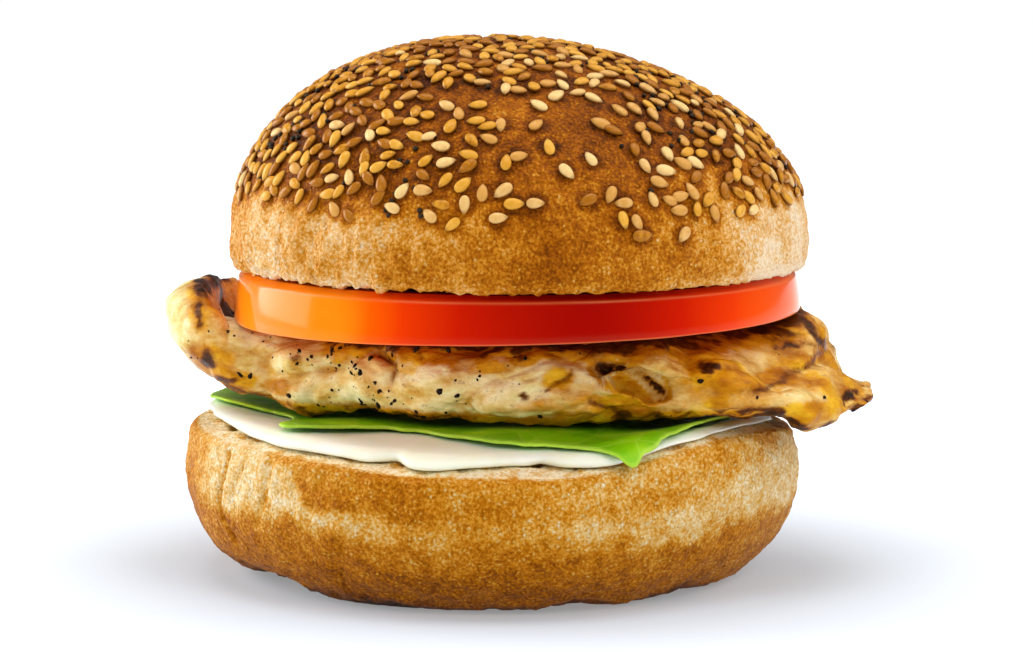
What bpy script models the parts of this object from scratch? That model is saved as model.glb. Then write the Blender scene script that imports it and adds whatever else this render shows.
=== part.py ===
"""A grilled chicken burger as six stacked solids: bun heel, mayonnaise, lettuce leaf,
chicken fillet, tomato slice and seeded bun crown.

The origin is the centre of the heel's flat underside, +Z is up and -Y is the front.
Lengths are written in millimetres and turned to metres where a mesh is made.
"""

import math
import random

import bmesh
import bpy
from mathutils import Matrix, Vector, noise

MM = 0.001

# Clear space left between two pieces that rest on each other.
GAP = 0.3

# Bun heel
HEEL_BASE_RADIUS = 38.6
HEEL_RADIUS = 50.4
HEEL_WIDEST_HEIGHT = 16.0
HEEL_CUT_RADIUS = 49.3
HEEL_RIM_HEIGHT = 23.3
HEEL_CRUMB_SWELL = 0.7

# Mayonnaise and lettuce
SAUCE_THICKNESS = 1.9
SAUCE_THINNING = 1.2
LEAF_THICKNESS = 0.55
LEAF_WAVE = 0.5
LEAF_SAG = 2.6

# Chicken fillet
FILLET_CENTRE = (3.0, 0.0)
FILLET_CURL_LEFT = 7.2
FILLET_DROOP_RIGHT = 11.0
FILLET_SAG_RIGHT = 3.2
FILLET_TIP_LIFT = 4.0
FILLET_TEAR_TURN = math.radians(301.0)
FILLET_TEAR_DEPTH = 2.6
FILLET_LUMP_HEIGHT = 1.1

# Tomato slice: the cut is uneven, so one side is thicker
TOMATO_CENTRE_X = 3.9
TOMATO_RADIUS = 46.1
TOMATO_UNDER_HEIGHT = 42.3
TOMATO_UNDER_SLOPE = 0.0195
TOMATO_TOP_HEIGHT = 49.7

# Bun crown
CROWN_CENTRE_X = 4.3
CROWN_RADIUS = 47.3
CROWN_CUT_HEIGHT = 50.3
CROWN_WIDEST_HEIGHT = 53.2
CROWN_TOP_HEIGHT = 86.8
CROWN_TOP_SHIFT = -5.0
CROWN_SHOULDER = 0.93
CROWN_TUCK = 0.9

# Sesame seeds fused to the crown
SEED_LENGTH = 3.1
SEED_WIDTH = 1.85
SEED_HEIGHT = 1.2
SEED_COUNT = 165
SEED_SPACING = 4.9
SEED_DRAW = 7

# Colours, linear
CRUST_COLOUR = (0.47, 0.21, 0.055)
SAUCE_COLOUR = (0.86, 0.82, 0.66)
LEAF_COLOUR = (0.13, 0.30, 0.02)
FILLET_COLOUR = (0.66, 0.46, 0.20)
TOMATO_COLOUR = (0.66, 0.035, 0.006)


def clear_scene():
    for old in list(bpy.data.objects):
        bpy.data.objects.remove(old, do_unlink=True)


def smoothstep(low, high, value):
    share = min(1.0, max(0.0, (value - low) / (high - low)))
    return share * share * (3.0 - 2.0 * share)


def lumps(x, y, z, size, shift=0.0):
    """Smooth unevenness between -1 and 1 with lumps of about the given size."""
    return noise.noise(Vector((x / size + shift, y / size - shift, z / size + 2.0 * shift)))


def round_outline(angle, points):
    """Radius at an angle through (degrees, radius) points, joined smoothly round the circle."""
    degrees = math.degrees(angle) % 360.0
    ordered = sorted((at % 360.0, radius) for at, radius in points)
    count = len(ordered)
    last = max((i for i in range(count) if ordered[i][0] <= degrees), default=count - 1)
    knots = []
    for step in (-1, 0, 1, 2):
        at, radius = ordered[(last + step) % count]
        turn = (last + step) // count
        knots.append((at + 360.0 * turn, radius))
    if last == count - 1 and degrees < ordered[0][0]:
        degrees += 360.0
    (a0, r0), (a1, r1), (a2, r2), (a3, r3) = knots
    slope_1 = (r2 - r0) / (a2 - a0)
    slope_2 = (r3 - r1) / (a3 - a1)
    span = a2 - a1
    t = (degrees - a1) / span
    return (
        r1 * (2 * t**3 - 3 * t**2 + 1)
        + r2 * (3 * t**2 - 2 * t**3)
        + slope_1 * span * (t**3 - 2 * t**2 + t)
        + slope_2 * span * (t**3 - t**2)
    )


def heel_rim(angle):
    """Height of the crust's top edge: cut askew, low at the front and high at the front right."""
    points = (
        (180, 24.6), (205, 24.5), (229, 24.0), (241, 23.3), (252, 22.5), (268, 22.4),
        (283, 22.1), (291, 22.8), (301, 24.3), (313, 25.6), (325, 26.1), (342, 25.0),
        (0, 23.5), (45, 23.2), (90, 23.4), (135, 24.0),
    )
    return round_outline(angle, points)


def heel_cut(x, y):
    """Height of the cut face: the crumb lies level inside, swells a little and meets the rim."""
    reach = math.hypot(x, y)
    toward_rim = smoothstep(34.0, 47.5, reach)
    rim = heel_rim(math.atan2(y, x))
    swell = HEEL_CRUMB_SWELL * smoothstep(49.0, 44.5, reach)
    return HEEL_RIM_HEIGHT + (rim - HEEL_RIM_HEIGHT) * toward_rim + swell


def heel_radius(share):
    """Radius at a share of the heel's own height, from the flat base to the cut."""
    widest = HEEL_WIDEST_HEIGHT / HEEL_RIM_HEIGHT
    if share < widest:
        swell = (1.0 - (1.0 - share / widest) ** 2.0) ** (1.0 / 1.5)
        return HEEL_BASE_RADIUS + (HEEL_RADIUS - HEEL_BASE_RADIUS) * swell
    above = (share - widest) / (1.0 - widest)
    return HEEL_RADIUS - (HEEL_RADIUS - HEEL_CUT_RADIUS) * above**2


def sauce_outline(angle):
    """The sauce is spread unevenly, almost to the rim in places, with a bay at the front."""
    points = (
        (163, 48.0), (187, 46.0), (206, 45.5), (225, 47.5), (241, 46.8), (258, 47.8),
        (268, 46.0), (277, 44.5), (286, 46.5), (293, 48.3), (302, 47.5), (318, 47.0),
        (345, 46.0), (20, 46.5), (55, 45.0), (90, 46.5), (125, 45.0),
    )
    return round_outline(angle, points)


def sauce_top(x, y):
    """The sauce is pressed thinner on the right."""
    thickness = SAUCE_THICKNESS - SAUCE_THINNING * smoothstep(10.0, 40.0, x)
    thickness += 0.25 * lumps(x, y, 0.0, 14.0, 3.1)
    return heel_cut(x, y) + GAP + thickness


def leaf_outline(angle):
    """One torn leaf: a lobe at the left, a notch, a corner, a bay and a tip over the front rim."""
    points = (
        (150, 45.0), (171, 47.3), (186, 44.5), (193, 39.5), (202, 36.0), (210, 36.5),
        (218, 41.0), (225, 45.5), (229, 42.0), (233, 36.5), (241, 33.0), (252, 33.0),
        (260, 36.0), (267, 39.3), (276, 42.0), (285, 43.0), (291, 46.3), (295.3, 50.4),
        (299, 47.5), (306, 45.0), (318, 43.5), (335, 41.0), (5, 41.0), (35, 46.5),
        (62, 43.5), (92, 47.5), (122, 44.0),
    )
    return round_outline(angle, points)


def leaf_under(x, y):
    """The leaf lies on the sauce in shallow waves and sags where it passes the rim."""
    reach = math.hypot(x, y)
    wave = LEAF_WAVE * (0.5 + 0.5 * math.sin(x / 5.2 + 1.4 * math.sin(y / 9.0)))
    wave *= smoothstep(12.0, 34.0, reach)
    past_rim = reach - sauce_outline(math.atan2(y, x))
    sag = LEAF_SAG * smoothstep(0.2, 4.0, past_rim)
    return sauce_top(x, y) + GAP + wave - sag


def fillet_outline(angle):
    """A butterflied breast seen from above: a blunt left end and a thin torn tip on the right."""
    points = (
        (176, 57.5), (190, 54.0), (205, 43.5), (222, 36.5), (240, 35.5), (256, 35.5),
        (272, 36.0), (290, 38.5), (306, 43.5), (320, 51.0), (334, 58.0), (350, 59.5),
        (5, 56.5), (22, 49.5), (45, 41.5), (68, 36.5), (92, 34.5), (118, 37.5),
        (142, 45.0), (162, 54.5),
    )
    return round_outline(angle, points)


def tomato_under(x):
    return TOMATO_UNDER_HEIGHT + TOMATO_UNDER_SLOPE * (x - TOMATO_CENTRE_X)


def fillet_top(x, y):
    """Pressed flat by the tomato, curling up past it on the left and drooping on the right."""
    across = math.hypot(x - TOMATO_CENTRE_X, y)
    pressed = tomato_under(x) - GAP - 0.9 * (0.5 + 0.5 * lumps(x, y, 0.0, 9.0, 5.7))
    left = smoothstep(48.1, 51.8, across) * smoothstep(-30.0, -42.0, x) * FILLET_CURL_LEFT
    right = smoothstep(49.5, 61.5, x) * FILLET_DROOP_RIGHT
    front = 2.0 * smoothstep(32.0, 46.0, across) * smoothstep(-5.0, -30.0, y)
    right_front = 6.0 * smoothstep(24.0, 50.0, x) * smoothstep(-8.0, -34.0, y)
    return pressed + left - right - front - right_front


def fillet_inward(turn, level):
    """How far the side is sunk: a torn hollow at the front right, and uneven meat all round."""
    across_tear = (turn - FILLET_TEAR_TURN) / 0.13
    up_tear = (level - 0.42) / 0.2
    tear = FILLET_TEAR_DEPTH * math.exp(-across_tear**2 - up_tear**2)
    lump = lumps(6.0 * math.cos(turn), 6.0 * math.sin(turn), 2.0 * level, 1.3, 2.6)
    return tear + FILLET_LUMP_HEIGHT * lump * math.sin(math.pi * level)


def fillet_under(x, y):
    """Lies on the leaf, sags past the bun on the right and curls up at both ends."""
    left = 1.3 * smoothstep(-30.0, -46.0, x) + 4.5 * smoothstep(-44.0, -55.0, x)
    right = FILLET_SAG_RIGHT * smoothstep(44.5, 50.0, x) - FILLET_TIP_LIFT * smoothstep(52.0, 63.0, x)
    hollow = 1.1 * (0.5 + 0.5 * lumps(x, y, 0.0, 11.0, 8.3))
    inward = min(1.0, 44.0 / max(1.0, math.hypot(x, y)))
    rest = sauce_top(x * inward, y * inward) + 2.0 * GAP + LEAF_WAVE + LEAF_THICKNESS
    return rest + left - right + hollow


def crown_point(turn, rise):
    """A point of the crust: rise is 0 at the widest ring and 1 at the top."""
    quarter = rise * math.pi / 2.0
    height = (CROWN_TOP_HEIGHT - CROWN_WIDEST_HEIGHT) * math.sin(quarter) ** CROWN_SHOULDER
    share = height / (CROWN_TOP_HEIGHT - CROWN_WIDEST_HEIGHT)
    radius = CROWN_RADIUS * math.cos(quarter)
    centre_x = CROWN_CENTRE_X + CROWN_TOP_SHIFT * share**3
    x = radius * math.cos(turn)
    y = radius * math.sin(turn)
    swell = 1.0 + 0.006 * lumps(x, y, height, 22.0, 1.7)
    return Vector((centre_x + x * swell, y * swell, CROWN_WIDEST_HEIGHT + height * swell))


def crown_normal(turn, rise):
    step = 0.004
    along = crown_point(turn + step, rise) - crown_point(turn - step, rise)
    up = crown_point(turn, min(1.0, rise + step)) - crown_point(turn, rise - step)
    return along.cross(up).normalized()


def material(name, colour, roughness):
    made = bpy.data.materials.new(name)
    made.use_nodes = True
    shader = made.node_tree.nodes["Principled BSDF"]
    shader.inputs["Base Color"].default_value = (*colour, 1.0)
    shader.inputs["Roughness"].default_value = roughness
    shader.inputs["Metallic"].default_value = 0.0
    return made


def object_from_rings(name, rings, surface):
    """A closed solid from rings of points, lowest or innermost first, with a middle point at each end."""
    mesh = bmesh.new()
    loops = [[mesh.verts.new(Vector(point) * MM) for point in ring] for ring in rings]
    count = len(loops[0])
    for lower, upper in zip(loops, loops[1:]):
        for i in range(count):
            j = (i + 1) % count
            mesh.faces.new((lower[i], lower[j], upper[j], upper[i]))
    for loop, facing_up in ((loops[0], False), (loops[-1], True)):
        middle = mesh.verts.new(sum((v.co for v in loop), Vector()) / count)
        for i in range(count):
            j = (i + 1) % count
            corners = (loop[i], loop[j], middle) if facing_up else (loop[j], loop[i], middle)
            mesh.faces.new(corners)
    bmesh.ops.triangulate(mesh, faces=mesh.faces[:])
    data = bpy.data.meshes.new(name)
    mesh.to_mesh(data)
    mesh.free()
    data.shade_smooth()
    data.set_sharp_from_angle(angle=math.radians(50.0))
    data.materials.append(surface)
    made = bpy.data.objects.new(name, data)
    bpy.context.scene.collection.objects.link(made)
    return made


def turns(count):
    return [math.tau * i / count for i in range(count)]


def slab_rings(count, centre, outline, under, top, shares, edge, inward=None):
    """Rings of a slab between two height functions.

    shares are parts of the outline's radius, innermost first. edge lists the rim's steps
    as (part of the radius, part of the thickness). inward gives how far the side is sunk
    at a turn and a part of the thickness.
    """
    path = [(share, 0.0) for share in shares]
    path += list(edge)
    path += [(share, 1.0) for share in reversed(shares)]
    rings = []
    for share, level in path:
        ring = []
        for turn in turns(count):
            sunk = inward(turn, level) if inward else 0.0
            reach = share * (outline(turn) - sunk)
            x = centre[0] + reach * math.cos(turn)
            y = centre[1] + reach * math.sin(turn)
            low = under(x, y)
            high = top(x, y)
            ring.append((x, y, low + (high - low) * level))
        rings.append(ring)
    return rings


def round_edge(steps, depth, blunt=1.0):
    """Rim steps of a rounded edge that is depth of the radius deep."""
    edge = []
    for i in range(1, steps):
        quarter = math.pi * i / steps
        level = 0.5 - 0.5 * math.copysign(abs(math.cos(quarter)) ** blunt, math.cos(quarter))
        edge.append((1.0 - depth * (1.0 - math.sin(quarter) ** blunt), level))
    return edge


def make_heel(surface):
    count = 52
    shares = (0.0, 0.02, 0.07, 0.15, 0.27, 0.43, 0.62, 0.80, 0.93)
    rings = []
    for share in shares:
        ring = []
        for turn in turns(count):
            radius = heel_radius(share)
            x = radius * math.cos(turn)
            y = radius * math.sin(turn)
            rim = heel_cut(HEEL_CUT_RADIUS * math.cos(turn), HEEL_CUT_RADIUS * math.sin(turn))
            swell = 1.0 + 0.006 * lumps(x, y, 0.0, 17.0, 4.2) * smoothstep(0.0, 0.2, share)
            ring.append((x * swell, y * swell, rim * share))
        rings.append(ring)
    for part in (0.985, 0.88, 0.74, 0.4):
        ring = []
        for turn in turns(count):
            x = part * HEEL_CUT_RADIUS * math.cos(turn)
            y = part * HEEL_CUT_RADIUS * math.sin(turn)
            ring.append((x, y, heel_cut(x, y)))
        rings.append(ring)
    return object_from_rings("bun_heel", rings, surface)


def make_sauce(surface):
    edge = [(0.985, 0.12), (1.0, 0.4), (0.985, 0.75), (0.95, 0.95)]
    rings = slab_rings(
        52, (0.0, 0.0), sauce_outline,
        lambda x, y: heel_cut(x, y) + GAP, sauce_top,
        (0.4, 0.6, 0.78, 0.93), edge,
    )
    return object_from_rings("mayonnaise", rings, surface)


def make_leaf(surface):
    rings = slab_rings(
        64, (0.0, 0.0), leaf_outline,
        leaf_under, lambda x, y: leaf_under(x, y) + LEAF_THICKNESS,
        (0.4, 0.58, 0.76, 0.93, 1.0), (),
    )
    return object_from_rings("lettuce_leaf", rings, surface)


def make_fillet(surface):
    rings = slab_rings(
        56, FILLET_CENTRE, fillet_outline, fillet_under, fillet_top,
        (0.3, 0.6, 0.76, 0.825), round_edge(8, 0.12, 0.8), fillet_inward,
    )
    return object_from_rings("chicken_fillet", rings, surface)


def make_tomato(surface):
    edge = [(0.993, 0.06), (1.0, 0.2), (1.004, 0.5), (1.0, 0.8), (0.993, 0.94)]
    rings = slab_rings(
        48, (TOMATO_CENTRE_X, 0.0),
        lambda turn: TOMATO_RADIUS * (1.0 + 0.006 * math.cos(3.0 * turn + 0.8)),
        lambda x, y: tomato_under(x), lambda x, y: TOMATO_TOP_HEIGHT,
        (0.984,), edge,
    )
    return object_from_rings("tomato_slice", rings, surface)


def seed_cover(turn, rise):
    """How thickly seeds lie, from 0 to 1: bare round the rim, lower down and thinner in front."""
    from_front = (turn - math.radians(282.0)) / math.radians(26.0)
    front = math.exp(-0.5 * from_front * from_front)
    low_edge = 0.14 - 0.10 * front
    cover = smoothstep(low_edge, low_edge + 0.09, rise)
    thin_front = front * smoothstep(0.60, 0.40, rise)
    return cover * (1.0 - 0.45 * thin_front)


def seed_spots(count, spacing):
    """Seeded draws over the dome by area, kept apart by the spacing."""
    draw = random.Random(SEED_DRAW)
    spots = []
    for _ in range(count * 60):
        turn = draw.uniform(0.0, math.tau)
        rise = math.asin(draw.uniform(0.0, 0.999)) * 2.0 / math.pi
        heading = draw.uniform(0.0, math.tau)
        size = draw.uniform(0.88, 1.12)
        if draw.random() > seed_cover(turn, rise):
            continue
        point = crown_point(turn, rise)
        if all((point - other[0]).length > spacing for other in spots):
            spots.append((point, crown_normal(turn, rise), heading, size))
        if len(spots) == count:
            break
    return spots


def make_seed(collection, number, spot):
    """A low teardrop: five sides, one shoulder ring and a crest, half sunk in the crust."""
    point, normal, heading, size = spot
    sides = 5
    mesh = bmesh.new()
    loops = []
    for spread, height in ((1.0, 0.0), (0.62, 0.36)):
        loop = []
        for turn in turns(sides):
            taper = 1.0 - 0.30 * math.cos(turn)
            x = 0.5 * SEED_LENGTH * math.cos(turn) * spread
            y = 0.5 * SEED_WIDTH * math.sin(turn) * taper * spread
            loop.append(mesh.verts.new((x, y, height * SEED_HEIGHT)))
        loops.append(loop)
    crest = mesh.verts.new((-0.1 * SEED_LENGTH, 0.0, 0.5 * SEED_HEIGHT))
    keel = mesh.verts.new((0.0, 0.0, -0.5 * SEED_HEIGHT))
    for i in range(sides):
        j = (i + 1) % sides
        mesh.faces.new((loops[0][i], loops[0][j], loops[1][j], loops[1][i]))
        mesh.faces.new((loops[1][i], loops[1][j], crest))
        mesh.faces.new((loops[0][j], loops[0][i], keel))
    bmesh.ops.triangulate(mesh, faces=mesh.faces[:])
    data = bpy.data.meshes.new("seed_%03d" % number)
    mesh.to_mesh(data)
    mesh.free()
    seed = bpy.data.objects.new(data.name, data)
    lift = 0.14 * SEED_HEIGHT
    seed.matrix_world = (
        Matrix.Translation((point + normal * lift) * MM)
        @ normal.to_track_quat("Z", "Y").to_matrix().to_4x4()
        @ Matrix.Rotation(heading, 4, "Z")
        @ Matrix.Scale(size * MM, 4)
    )
    collection.objects.link(seed)


def fuse(target, collection):
    """Joins every object of the collection to the target and removes them."""
    join = target.modifiers.new("fuse", "BOOLEAN")
    join.operand_type = "COLLECTION"
    join.collection = collection
    join.operation = "UNION"
    join.solver = "MANIFOLD"
    bpy.context.view_layer.update()
    with bpy.context.temp_override(object=target, active_object=target):
        bpy.ops.object.modifier_apply(modifier=join.name)
    for joined in list(collection.objects):
        bpy.data.objects.remove(joined, do_unlink=True)
    bpy.data.collections.remove(collection)


def make_crown(surface):
    count = 56
    rings = []
    cut_radius = CROWN_RADIUS - CROWN_TUCK
    for part in (0.35, 0.75):
        ring = []
        for turn in turns(count):
            x = CROWN_CENTRE_X + part * cut_radius * math.cos(turn)
            ring.append((x, part * cut_radius * math.sin(turn), CROWN_CUT_HEIGHT))
        rings.append(ring)
    for share in (0.0, 0.25, 0.6):
        ring = []
        for turn in turns(count):
            widest = crown_point(turn, 0.0)
            tuck = CROWN_TUCK * (1.0 - share) ** 2
            height = CROWN_CUT_HEIGHT + (CROWN_WIDEST_HEIGHT - CROWN_CUT_HEIGHT) * share
            ring.append((
                widest.x - tuck * math.cos(turn),
                widest.y - tuck * math.sin(turn),
                height,
            ))
        rings.append(ring)
    steps = 12
    for step in range(steps):
        rings.append([crown_point(turn, step / steps) for turn in turns(count)])
    crown = object_from_rings("bun_crown", rings, surface)
    seeds = bpy.data.collections.new("seeds")
    bpy.context.scene.collection.children.link(seeds)
    for number, spot in enumerate(seed_spots(SEED_COUNT, SEED_SPACING)):
        make_seed(seeds, number, spot)
    fuse(crown, seeds)
    return crown


def main():
    clear_scene()
    crust = material("crust", CRUST_COLOUR, 0.6)
    make_heel(crust)
    make_sauce(material("mayonnaise", SAUCE_COLOUR, 0.3))
    make_leaf(material("lettuce", LEAF_COLOUR, 0.4))
    make_fillet(material("grilled_chicken", FILLET_COLOUR, 0.45))
    make_tomato(material("tomato", TOMATO_COLOUR, 0.2))
    make_crown(crust)


main()
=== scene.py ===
# %% [markdown]
# # A grilled chicken burger, layer by layer
#
# This lesson dresses a burger whose plain solids were modelled first. From the table up it
# is a bun heel, mayonnaise, one lettuce leaf, a grilled chicken fillet, a slice of tomato
# and a bun crown with sesame and poppy seeds. Every layer is made again here as a fine
# mesh on the same formulas, so it sits where its solid sits, and gets its own finish.
# Lengths are in millimetres and are turned to metres when a mesh is made.

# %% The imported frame
import math
import random

import bpy
import numpy as np
from mathutils.kdtree import KDTree
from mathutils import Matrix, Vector, noise


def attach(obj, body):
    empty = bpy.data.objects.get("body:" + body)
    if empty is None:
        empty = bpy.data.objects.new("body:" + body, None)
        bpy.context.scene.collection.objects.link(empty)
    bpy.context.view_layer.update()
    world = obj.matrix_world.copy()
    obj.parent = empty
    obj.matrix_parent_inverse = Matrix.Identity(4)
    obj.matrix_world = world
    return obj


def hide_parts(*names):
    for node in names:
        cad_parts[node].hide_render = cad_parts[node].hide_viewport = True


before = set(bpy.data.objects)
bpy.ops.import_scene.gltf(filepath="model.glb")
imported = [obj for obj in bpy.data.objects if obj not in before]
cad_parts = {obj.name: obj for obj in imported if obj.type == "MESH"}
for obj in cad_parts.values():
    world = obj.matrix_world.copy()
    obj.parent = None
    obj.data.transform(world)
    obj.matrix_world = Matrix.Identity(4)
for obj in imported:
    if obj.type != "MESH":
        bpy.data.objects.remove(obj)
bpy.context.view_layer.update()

MM = 0.001
print("layers:", ", ".join(sorted(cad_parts)))

# %% [markdown]
# ## Small tools
#
# Colours are picked as sRGB hex, as a colour picker shows them, and one function turns them
# to the linear numbers that the renderer adds up. Node trees are built with one small
# function that makes a node, sets it up and links it. A colour ramp turns one number, such
# as how long a spot was baked, into a colour. Such numbers are stored on the mesh's points,
# and an Attribute node reads them back.

# %% Colour from hex
def shade(code):
    """Linear RGBA from an sRGB hex code such as "c58a3f"."""
    parts = [int(code[i:i + 2], 16) / 255.0 for i in (0, 2, 4)]
    linear = [p / 12.92 if p <= 0.04045 else ((p + 0.055) / 1.055) ** 2.4 for p in parts]
    return (*linear, 1.0)


# %% One function for nodes
def add(tree, kind, inputs=None, stops=(), **settings):
    """A node of that kind. inputs maps a socket to a value or to the output that feeds it.

    stops are the (position, hex) colours of a ramp.
    """
    node = tree.nodes.new(kind)
    for key, value in settings.items():
        setattr(node, key, value)
    for key, value in (inputs or {}).items():
        if isinstance(value, bpy.types.NodeSocket):
            tree.links.new(value, node.inputs[key])
        else:
            node.inputs[key].default_value = value
    if stops:
        elements = node.color_ramp.elements
        while len(elements) < len(stops):
            elements.new(1.0)
        for element, (position, code) in zip(elements, stops):
            element.position = position
            element.color = shade(code)
    return node


# %% A new material
def finish(name, **sockets):
    """A material with a Principled shader. Returns the material, its tree and its shader."""
    made = bpy.data.materials.new(name)
    made.use_nodes = True
    shader = made.node_tree.nodes["Principled BSDF"]
    for key, value in sockets.items():
        shader.inputs[key.replace("_", " ")].default_value = value
    return made, made.node_tree, shader


# %% [markdown]
# ## Shapes from rings
#
# Every layer is a stack of rings of points, from the middle of its underside, out round
# the rim, to the middle of its top. With numpy a whole stack is one array, so a form is
# a formula on angles and heights, and relief is a push along the normals.

# %% Smooth steps, hills and unevenness
def smooth(low, high, value):
    share = np.clip((value - low) / (high - low), 0.0, 1.0)
    return share * share * (3.0 - 2.0 * share)


def hill(away, width):
    """1 where away is 0, fading to 0 over about twice the width."""
    return np.exp(-0.5 * (away / width) ** 2)


def uneven(x, y, z, size, shift=0.0, octaves=1):
    """Perlin noise, about -1 to 1, with lumps of the given size."""
    x, y, z = np.broadcast_arrays(x / size + shift, y / size - shift, z / size + 2.0 * shift)
    points = np.stack([x, y, z], axis=-1).reshape(-1, 3).tolist()
    if octaves == 1:
        values = [noise.noise(point) for point in points]
    else:
        values = [noise.fractal(point, 1.0, 2.0, octaves) for point in points]
    return np.array(values).reshape(x.shape)


# %% An outline through a few points
def round_outline(turn, points):
    """Radius at each angle through (degrees, radius) points, joined smoothly round the circle."""
    ordered = sorted((at % 360.0, radius) for at, radius in points)
    at = np.array([a for a, _ in ordered])
    radius = np.array([r for _, r in ordered])
    at = np.concatenate([at[-2:] - 360.0, at, at[:2] + 360.0])
    radius = np.concatenate([radius[-2:], radius, radius[:2]])
    slope = (radius[2:] - radius[:-2]) / (at[2:] - at[:-2])
    degrees = np.degrees(turn) % 360.0
    last = np.clip(np.searchsorted(at, degrees, side="right") - 1, 1, len(at) - 3)
    span = at[last + 1] - at[last]
    t = (degrees - at[last]) / span
    return (
        radius[last] * (2 * t**3 - 3 * t**2 + 1)
        + radius[last + 1] * (3 * t**2 - 2 * t**3)
        + slope[last - 1] * span * (t**3 - 2 * t**2 + t)
        + slope[last] * span * (t**3 - t**2)
    )


# %% Normals and relief
def ring_normals(rings):
    along = np.roll(rings, -1, axis=1) - np.roll(rings, 1, axis=1)
    up = np.gradient(rings, axis=0)
    normals = np.cross(along, up)
    length = np.linalg.norm(normals, axis=-1, keepdims=True)
    return normals / np.maximum(length, 1e-9)


def relief(rings, height):
    """Pushes each point out along its normal by a height in mm."""
    return rings + ring_normals(rings) * height[..., None]


# %% Rings to a mesh
def piece_from_mesh(name, points, faces, surface, numbers):
    """A smooth mesh object from points in mm, with numbers stored on its points."""
    data = bpy.data.meshes.new(name)
    data.from_pydata((points * MM).tolist(), [], faces)
    data.shade_smooth()
    for key, values in numbers.items():
        layer = data.attributes.new(key, "FLOAT", "POINT")
        layer.data.foreach_set("value", np.asarray(values, dtype=np.float32))
    data.materials.append(surface)
    piece = bpy.data.objects.new(name, data)
    bpy.context.scene.collection.objects.link(piece)
    print(f"{name}: {len(data.vertices)} points, {len(data.polygons)} faces")
    return piece


def ring_faces(ring_count, side_count):
    """Quads between the rings, and a fan to one added point at each end."""
    i = np.arange(side_count)
    j = (i + 1) % side_count
    faces = []
    for ring in range(ring_count - 1):
        low, high = ring * side_count, (ring + 1) * side_count
        faces += np.stack([low + i, low + j, high + j, high + i], axis=1).tolist()
    bottom = ring_count * side_count
    last = (ring_count - 1) * side_count
    faces += np.stack([j, i, np.full_like(i, bottom)], axis=1).tolist()
    faces += np.stack([last + i, last + j, np.full_like(i, bottom + 1)], axis=1).tolist()
    return faces


def piece_from_rings(name, rings, surface, **numbers):
    """A closed piece from an array of rings, its first ring the innermost of the underside."""
    ring_count, side_count = rings.shape[:2]
    ends = [rings[0].mean(axis=0), rings[-1].mean(axis=0)]
    points = np.concatenate([rings.reshape(-1, 3), ends])
    kept = {}
    for key, values in numbers.items():
        kept[key] = np.concatenate([values.reshape(-1), [values[0].mean(), values[-1].mean()]])
    return piece_from_mesh(name, points, ring_faces(ring_count, side_count), surface, kept)


def turns(count):
    return np.arange(count) * math.tau / count


# %% [markdown]
# ## Camera
#
# The photograph was taken about 550 mm away, a little from above. The lens follows from
# the burger's known width and how many pixels it fills in a frame of 1033 by 672.

# %% Camera
PHOTO_WIDTH = 1033
FOCAL_PIXELS = 3360
SENSOR_WIDTH = 36.0
LOOK_DOWN = math.radians(7.1)
CAMERA_PLACE = (4.0 * MM, -550.0 * MM, 106.56 * MM)

camera_data = bpy.data.cameras.new("camera")
camera_data.sensor_width = SENSOR_WIDTH
camera_data.lens = SENSOR_WIDTH * FOCAL_PIXELS / PHOTO_WIDTH
camera = bpy.data.objects.new("camera", camera_data)
camera.location = CAMERA_PLACE
camera.rotation_euler = (math.pi / 2 - LOOK_DOWN, 0.0, 0.0)
bpy.context.scene.collection.objects.link(camera)
bpy.context.scene.camera = camera
print(f"lens {camera_data.lens:.1f} mm")

# %% [markdown]
# ## Light
#
# The burger stands on a white table with a painted glow, weak near the burger and strong further away, so the
# table reads as pure white and a painted shadow lies round the burger beside the real soft shadow. Two soft
# boxes stand at its
# sides and a little behind it: they draw the long reflections down the tomato's skin and
# light the bun's flanks. A wide one hangs overhead. Two in front stand high enough to miss
# the tomato's mirror angle: they fill the lower half and throw the soft shadows backwards.
# The studio round it is grey.

# %% White table
# A matt white board, tinted a little blue so that its shadows, warmed by light off the bun, read neutral
# grey. Its glow is painted light, a share of white added to the light on it, from GLOW_NEAR beside the burger
# to GLOW_FAR, over GLOW_REACH in metres from the middle: the low glow near the burger is a painted shadow.
TABLE_HALF = 8.0
GLOW_NEAR = 0.26
GLOW_FAR = 0.9
GLOW_REACH = (0.055, 0.15)
white_board, tree, shader = finish(
    "white_board_painted_glow", Base_Color=shade("b6bfcb"), Roughness=0.9, Emission_Color=shade("ffffff"),
)
place = add(tree, "ShaderNodeTexCoord").outputs["Object"]
distance = add(tree, "ShaderNodeVectorMath", {0: place}, operation="LENGTH")
glow = add(tree, "ShaderNodeMapRange", {
    "Value": distance.outputs["Value"], "From Min": GLOW_REACH[0], "From Max": GLOW_REACH[1],
    "To Min": GLOW_NEAR, "To Max": GLOW_FAR,
})
tree.links.new(glow.outputs["Result"], shader.inputs["Emission Strength"])
table_data = bpy.data.meshes.new("table")
table_data.from_pydata(
    [(-TABLE_HALF, -TABLE_HALF, 0), (TABLE_HALF, -TABLE_HALF, 0),
     (TABLE_HALF, TABLE_HALF, 0), (-TABLE_HALF, TABLE_HALF, 0)],
    [], [(0, 1, 2, 3)],
)
table_data.materials.append(white_board)
table = bpy.data.objects.new("table", table_data)
bpy.context.scene.collection.objects.link(table)
print("table", 2 * TABLE_HALF, "m wide")

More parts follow.
